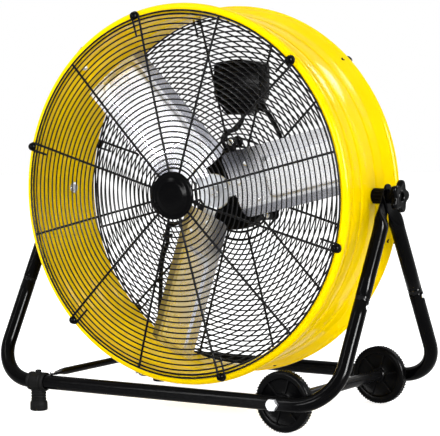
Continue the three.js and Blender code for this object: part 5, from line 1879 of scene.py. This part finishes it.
def leg_section(s):
    """Half widths and flatness of a leg's section: round below, flat round its pivot."""
    start = LEG_RUN - FLATTEN_FROM
    share = smooth_step((s - start) / (FLATTEN_FROM - FLATTEN_TO))
    half_x = mix(TUBE_R, PLATE / 2, share)
    half_out = mix(TUBE_R, PLATE_HALF, smooth_step((s - (start - 8)) / FLATTEN_TO))
    over = s - (LEG_RUN + PLATE_RISE)
    if over > 0:
        half_out = math.sqrt(max(0.0, PLATE_HALF ** 2 - over ** 2))
    return half_x, half_out, share


def leg_ring(side, s, dip, shift):
    """A leg's section at a rise, narrowed by a dip where its joint is swaged."""
    half_x, half_out, share = leg_section(s)
    power = mix(2.0, 7.0, share)
    middle = mix(STAND_X, PLATE_X + shift, share)
    ring = []
    for i in range(36):
        x, out = squared(power, 10 * i)
        if s > LEG_RUN - FLATTEN_TO:
            out = polar(1, 10 * i)[1]
        ring.append(on_slope(side * (middle + x * (half_x - dip)), s, out * (half_out - dip)))
    return ring


def leg_solid(side, towards):
    """A leg from its joint to its rounded plate, and the spigot that enters the base tube."""
    shift = towards * (PLATE + GAP) / 2
    top = LEG_RUN + PLATE_RISE
    stops = [JOINT_RISE + rise for rise in (GAP, 3.2, 4.4, 5.6, 40)]
    stops += [s for s in (LEG_RUN - FLATTEN_FROM - 10 + 3 * i for i in range(25)) if s < top]
    stops += [top + PLATE_HALF * math.sin(math.radians(a)) for a in (0, 15, 30, 45, 60, 72, 82, 87)]
    dips = {0: 0.5, 2: 0.9}
    rings = [leg_ring(side, s, dips.get(index, 0), shift) for index, s in enumerate(stops)]
    run = [(side * STAND_X, JOINT_RISE - 30), (side * STAND_X, JOINT_RISE + 6)]
    return stacked(rings), planar_sweep(run, on_slope, round_section(SPIGOT_R, 24))


def bolt_bore(side):
    return rod(BOLT_HOLE_R, 9, 32, sideways(side * PLATE_X, 0, AXIS_Z))


def stand_frame():
    """Two base tubes and four upper legs, front and rear alike but mirrored."""
    for end, towards in (("front", -1), ("rear", 1)):
        base = mesh_object(f"{end}_base_bend", at_end(end, base_tube_solid()))
        base = cut(base, at_end(end, axle_bore()))
        settle(base, "stand_black", "stand", [f"{end}_base_tube"], 50)
        for side in (1, -1):
            name = f"{end}_{side_name(side)}"
            body, spigot = leg_solid(side, towards)
            leg = cut(mesh_object(name + "_tube", at_end(end, body)), bolt_bore(side))
            leg = joined(name + "_upright", leg, mesh_object(name + "_spigot", at_end(end, spigot)))
            settle(leg, "stand_black", "stand", [name + "_leg"], 42)
            leg_screw(name, side, -towards)


def leg_screw(name, side, front):
    """A pan-head screw just below each leg joint, with a cross recess."""
    centre = on_slope(side * STAND_X, JOINT_RISE - LEG_SCREW_DROP, 0)
    centre.y *= front
    head = [(2, GAP), (4.4, GAP), (4.5, 0.9), (3.9, 2), (2.4, 2.7), (1.2, 2.7), (1.0, 1.4), (0, 1.4)]
    profile = [(0, 7), (2, 7), *raised(TUBE_R, head)]
    screw = turned(profile, 20, facing(centre, (side, 0, 0)))
    piece(name + "_pan_screw", screw, "bright_zinc", "stand", [name + "_leg_screw"])


def crossbar():
    """The bar between the base tubes near the feet, pressed flat over each and held by a screw."""
    flat_x, flat_z, round_r = 8, 2.5, 6.5
    z = BASE_Z + TUBE_R + GAP + flat_z
    reach = BASE_Y + 4
    rings = []
    for i in range(49):
        y = mix(-reach, reach, i / 48)
        share = smooth_step((reach - 22 - abs(y)) / 18)
        nose = max(0.0, abs(y) - (reach - 7)) / 7
        half_x = mix(flat_x, round_r, share) * math.sqrt(max(0.02, 1 - nose * nose))
        half_z = mix(flat_z, round_r, share)
        corners = [squared(mix(4.0, 2.0, share), 15 * k) for k in range(24)]
        rings.append([(CROSSBAR_X + x * half_x, y, z + up * half_z) for x, up in corners])
    piece("crossbar_tube", stacked(rings), "stand_black", "stand", ["crossbar"], 50)
    head = [(0, 0), (4.6, 0), (4.6, 0.8), (3.8, 2.1), (1.4, 2.8), (1.2, 1.6), (0, 1.6)]
    pattern = turned(head, 20, facing((0, 0, 0), (0, 0, 1)))
    places = [(CROSSBAR_X, y * (BASE_Y - 2), z + 2.4) for y in (-1, 1)]
    settle(on_places("crossbar_screws", pattern, places, "bright_zinc"), "bright_zinc", "stand")


def foot(end, side):
    """A ribbed rubber foot under a split collar that grips the base tube."""
    y = side * BASE_Y
    profile = [(0, 0), (13.6, 0), (15, 0.8), (15.8, 2.2), (15.6, 13), (15.2, 15.6), (13.8, 17), (13.2, 18.4)]
    for i in range(4):
        profile += raised(5 * i, [(13.6, 19.6), (13.6, 22.2), (12.8, 22.9), (12.8, 23.7)])
    profile += [(13.2, 40), (0, 40)]
    post = mesh_object(f"{end}_foot_post", turned(profile, 40, Matrix.Translation((FOOT_X, y, 0))))
    across = sideways(FOOT_X, y, BASE_Z)
    inner = TUBE_R + GAP
    half = [(16.6, 8.4), (15.7, 9), (15.7, 12.4), (16.6, 13), (16.6, 16.6), (15.6, 17.5), (inner, 17.5)]
    collar = [(r, -x) for r, x in half[::-1]] + half + [(inner, -17.5)]
    ring = mesh_object(f"{end}_foot_collar", turned(collar, 40, across))
    boss = [(0, 14), (5.4, 14), (5.4, 19.5), (4.4, 20.6), (2.2, 20.8), (2.0, 19.4), (0, 19.4)]
    bump = mesh_object(f"{end}_foot_bump", turned(boss, 24, Matrix.Translation((FOOT_X, y, BASE_Z))))
    whole = joined(f"{end}_rubber_foot", cut(post, rod(inner, 30, 40, across)), ring, bump)
    settle(whole, "foot_rubber", "stand", [f"{end}_foot"])


# ---- wheels ----
def wheel(end, side):
    """A moulded wheel: hub, ribbed web set back from the rim, and a grooved tread."""
    centre = (WHEEL_X, side * WHEEL_Y, BASE_Z)
    hub = raised(-11.1, [(AXLE_BORE_R, 0), (11, 0), (12.6, 1), (14, 3.4)])
    web = [(14.6, -5.4), (17, -4.8), (36, -4.8), (38.6, -6), (39.6, -8.4), (41, -9), (46.4, -9), (48.4, -8.6)]
    rim = [(50.4, -7.2), (51.7, -5), (52, -2.6), (51.5, -1.7), (51.5, -1.1)]
    half = hub + web + rim
    profile = half + [(r, -y) for r, y in half[::-1]] + half[:1]
    body = mesh_object(f"{end}_wheel_body", turned(profile, 72, rearward(*centre)))
    rib = Solid()
    tread = Solid()
    for face in (-1, 1):
        rib.merge(stacked([
            [(x, face * 4.2, -h), (x, face * 4.2, h), (x, face * top, h * 0.7), (x, face * top, -h * 0.7)]
            for x, h, top in ((13.2, 2.0, 8.6), (26, 1.7, 7.2), (39.6, 1.7, 8.2))
        ]))
        tread.merge(block((1.1, 5.4, 1.5), (51.55, face * 4.6, 0)))
    ribs = around(f"{end}_wheel_ribs", rib, 6, 12, "wheel_black", centre)
    treads = around(f"{end}_wheel_tread", tread, 60, 0, "wheel_black", centre)
    settle(joined(f"{end}_roller", body, ribs, treads), "wheel_black", f"{end}_wheel", [f"{end}_wheel"], 32)


def axle():
    centre = rearward(WHEEL_X, 0, BASE_Z)
    half = AXLE_TUBE_HALF
    bore = AXLE_BORE_R
    profile = [
        (bore, -half), (9.4, -half), (10, -half + 0.6), (10, half - 0.6), (9.4, half), (bore, half),
        (bore, -half)
    ]
    piece("axle_sleeve", turned(profile, 40, centre), "stand_black", "stand", ["axle_tube"], 40)
    low, high = box_mm("axle_rod")
    seat = BASE_Y + TUBE_R + GAP
    profile = [(0, -seat - 1), (6, -seat - 1), (6, high.y - 1), (5.2, high.y), (0, high.y)]
    bolt = turned(profile, 32, centre).merge(hexagon(10.8, low.y, -seat), centre)
    piece("axle_bolt", bolt, "bright_zinc", "stand", ["axle_rod"], 30)
    nut = Solid().merge(hexagon(10.8, seat, seat + 7.5, 6.1), centre)
    piece("axle_lock_nut", nut, "bright_zinc", "stand", ["axle_nut"], 30)


# ---- add-on ----
LENGTH = {"unit": "LENGTH"}
COLOUR = {"subtype": "COLOR", "size": 3, "min": 0, "max": 1}
POWER = {"min": 0, "subtype": "POWER"}


class FanSizes(bpy.types.PropertyGroup):
    """The guard's wires, which a user may want thicker or closer"""

    ring_wire: FloatProperty(
        name="Ring Wire",
        description="Thickness of the guards' rings",
        default=0.0028, min=0.001, max=0.005, **LENGTH
    )
    spoke_wire: FloatProperty(
        name="Spoke Wire",
        description="Thickness of the guards' spokes",
        default=0.0042, min=0.002, max=0.008, **LENGTH
    )
    ring_pitch: FloatProperty(
        name="Ring Pitch",
        description="Distance between neighbouring rings",
        default=0.00935, min=0.006, **LENGTH
    )
    first_ring: FloatProperty(
        name="First Ring",
        description="Radius of the front guard's first ring",
        default=0.0545, min=0.04, **LENGTH
    )
    ring_count: IntProperty(
        name="Ring Count", description="Rings of the front guard", default=28, min=8, max=40
    )


class FanFinishes(bpy.types.PropertyGroup):
    """Colours of the painted and plain metal pieces"""

    drum: FloatVectorProperty(
        name="Drum Paint", description="Colour of the drum", default=(1.0, 0.69, 0.0), **COLOUR
    )
    stand: FloatVectorProperty(
        name="Stand Paint", description="Colour of the stand", default=(0.0006, 0.0006, 0.0008), **COLOUR
    )
    guard: FloatVectorProperty(
        name="Guard Paint", description="Colour of the guards", default=(0.002, 0.002, 0.002), **COLOUR
    )
    blade: FloatVectorProperty(
        name="Blade Metal", description="Colour of the blades", default=(0.86, 0.87, 0.9), **COLOUR
    )


class FanStage(bpy.types.PropertyGroup):
    """Strengths of the studio's light"""

    sky: FloatProperty(
        name="Sky", description="Strength of the even light from all round", default=0.6, min=0
    )
    key: FloatProperty(
        name="Key Lamp", description="Power of the lamp at the front left", default=70, **POWER
    )
    fill: FloatProperty(
        name="Fill Lamps", description="Power of the lamps at the right and back", default=13, **POWER
    )
    glint_side: FloatProperty(
        name="Side Glint", description="Power of the right box that only glosses see", default=1000, min=0
    )
    front: FloatProperty(name="Front Lamp", description="Power of the lamp at the front", default=52, **POWER)
    glint: FloatProperty(
        name="Glints", description="Power of the front box that only glosses see", default=110, **POWER
    )
    above: FloatProperty(
        name="Lamp Above", description="Power of the box above and behind", default=40, **POWER
    )


class FanStep(bpy.types.Operator):
    """One step of the fan"""

    bl_options = {"REGISTER", "UNDO"}

    def execute(self, context):
        self.build(context.scene)
        return {"FINISHED"}


class FAN_OT_camera(FanStep):
    """Place the camera at the photograph's angle"""

    bl_idname = "drum_fan.camera"
    bl_label = "Camera"

    def build(self, scene):
        place_camera()


class FAN_OT_power_cord(FanStep):
    """Lay the power cord from its clip to the floor, with its coil, tie and plug"""

    bl_idname = "drum_fan.power_cord"
    bl_label = "Power Cord"

    def build(self, scene):
        power_cord()


class FAN_OT_fixed_leads(FanStep):
    """Run the cords that the drum holds, with their strain relief and clip"""

    bl_idname = "drum_fan.fixed_leads"
    bl_label = "Fixed Leads"

    def build(self, scene):
        fixed_leads()
        cord_fittings()


class FAN_OT_drum_skin(FanStep):
    """Roll the drum's skin with its lips, beads and flare"""

    bl_idname = "drum_fan.drum_skin"
    bl_label = "Drum Skin"

    def build(self, scene):
        drum_skin()
        side_screws()


class FAN_OT_guards(FanStep):
    """Wind the front and rear wire guards with their mounting ring"""

    bl_idname = "drum_fan.guards"
    bl_label = "Wire Guards"

    def build(self, scene):
        front_guard(scene.drum_fan_sizes)
        rear_guard(scene.drum_fan_sizes)


class FAN_OT_guard_screws(FanStep):
    """Fit the ball nuts round both guards and the hub cap"""

    bl_idname = "drum_fan.guard_screws"
    bl_label = "Ball Nuts and Hub Cap"

    def build(self, scene):
        guard_screws()
        hub_cap()


class FAN_OT_rotor(FanStep):
    """Press the blades and their spider, and fit shaft, nut and rivets"""

    bl_idname = "drum_fan.rotor"
    bl_label = "Rotor"

    def build(self, scene):
        blades()
        spider()
        rotor_fixings()
        shaft_and_nut()


class FAN_OT_motor(FanStep):
    """Cast the motor's bell and finned housing"""

    bl_idname = "drum_fan.motor"
    bl_label = "Motor"

    def build(self, scene):
        motor()


class FAN_OT_control_box(FanStep):
    """Mould the control box with its screws and dial ring"""

    bl_idname = "drum_fan.control_box"
    bl_label = "Control Box"

    def build(self, scene):
        control_box()


class FAN_OT_speed_knob(FanStep):
    """Mould the fluted speed knob"""

    bl_idname = "drum_fan.speed_knob"
    bl_label = "Speed Knob"

    def build(self, scene):
        speed_knob()


class FAN_OT_handle(FanStep):
    """Bend the carrying handle and bolt it on"""

    bl_idname = "drum_fan.handle"
    bl_label = "Carrying Handle"

    def build(self, scene):
        carry_handle()


class FAN_OT_pivots(FanStep):
    """Fit the spacers, carriage bolts and star knobs at both sides"""

    bl_idname = "drum_fan.pivots"
    bl_label = "Pivots"

    def build(self, scene):
        for side in (1, -1):
            pivot(side)
            star_knob(side)


class FAN_OT_stand(FanStep):
    """Bend the base tubes and flatten the legs"""

    bl_idname = "drum_fan.stand"
    bl_label = "Stand"

    def build(self, scene):
        stand_frame()
        crossbar()


class FAN_OT_feet(FanStep):
    """Mould the two rubber feet"""

    bl_idname = "drum_fan.feet"
    bl_label = "Feet"

    def build(self, scene):
        foot("front", -1)
        foot("rear", 1)


class FAN_OT_wheels(FanStep):
    """Mould the wheels and fit the axle"""

    bl_idname = "drum_fan.wheels"
    bl_label = "Wheels and Axle"

    def build(self, scene):
        wheel("front", -1)
        wheel("rear", 1)
        axle()


class FAN_OT_stage(FanStep):
    """Lay the pale floor and hang the lamps"""

    bl_idname = "drum_fan.stage"
    bl_label = "Stage"

    def build(self, scene):
        build_stage(scene.drum_fan_stage)


STEPS = (
    FAN_OT_camera,
    FAN_OT_power_cord,
    FAN_OT_fixed_leads,
    FAN_OT_drum_skin,
    FAN_OT_guards,
    FAN_OT_guard_screws,
    FAN_OT_rotor,
    FAN_OT_motor,
    FAN_OT_control_box,
    FAN_OT_speed_knob,
    FAN_OT_handle,
    FAN_OT_pivots,
    FAN_OT_stand,
    FAN_OT_feet,
    FAN_OT_wheels,
    FAN_OT_stage,
)


class FAN_PT_panel(bpy.types.Panel):
    """Sizes, finishes and steps of the drum fan"""

    bl_label = "Drum Fan"
    bl_idname = "FAN_PT_panel"
    bl_space_type = "VIEW_3D"
    bl_region_type = "UI"
    bl_category = "Drum Fan"

    def draw(self, context):
        for group in (
            context.scene.drum_fan_sizes, context.scene.drum_fan_finishes, context.scene.drum_fan_stage
        ):
            box = self.layout.box()
            for key in group.__annotations__:
                box.prop(group, key)
        for step in STEPS:
            self.layout.operator(step.bl_idname)


GROUPED = (("drum_fan_sizes", FanSizes), ("drum_fan_finishes", FanFinishes), ("drum_fan_stage", FanStage))


def register():
    for name, group in GROUPED:
        bpy.utils.register_class(group)
        setattr(bpy.types.Scene, name, PointerProperty(type=group))
    for step in STEPS:
        bpy.utils.register_class(step)
    bpy.utils.register_class(FAN_PT_panel)


def unregister():
    bpy.utils.unregister_class(FAN_PT_panel)
    for step in reversed(STEPS):
        bpy.utils.unregister_class(step)
    for name, group in reversed(GROUPED):
        delattr(bpy.types.Scene, name)
        bpy.utils.unregister_class(group)


def main():
    register()
    for step in STEPS:
        maker, action = step.bl_idname.split(".")
        getattr(getattr(bpy.ops, maker), action)()
    bpy.context.view_layer.update()


if __name__ == "__main__":
    main()
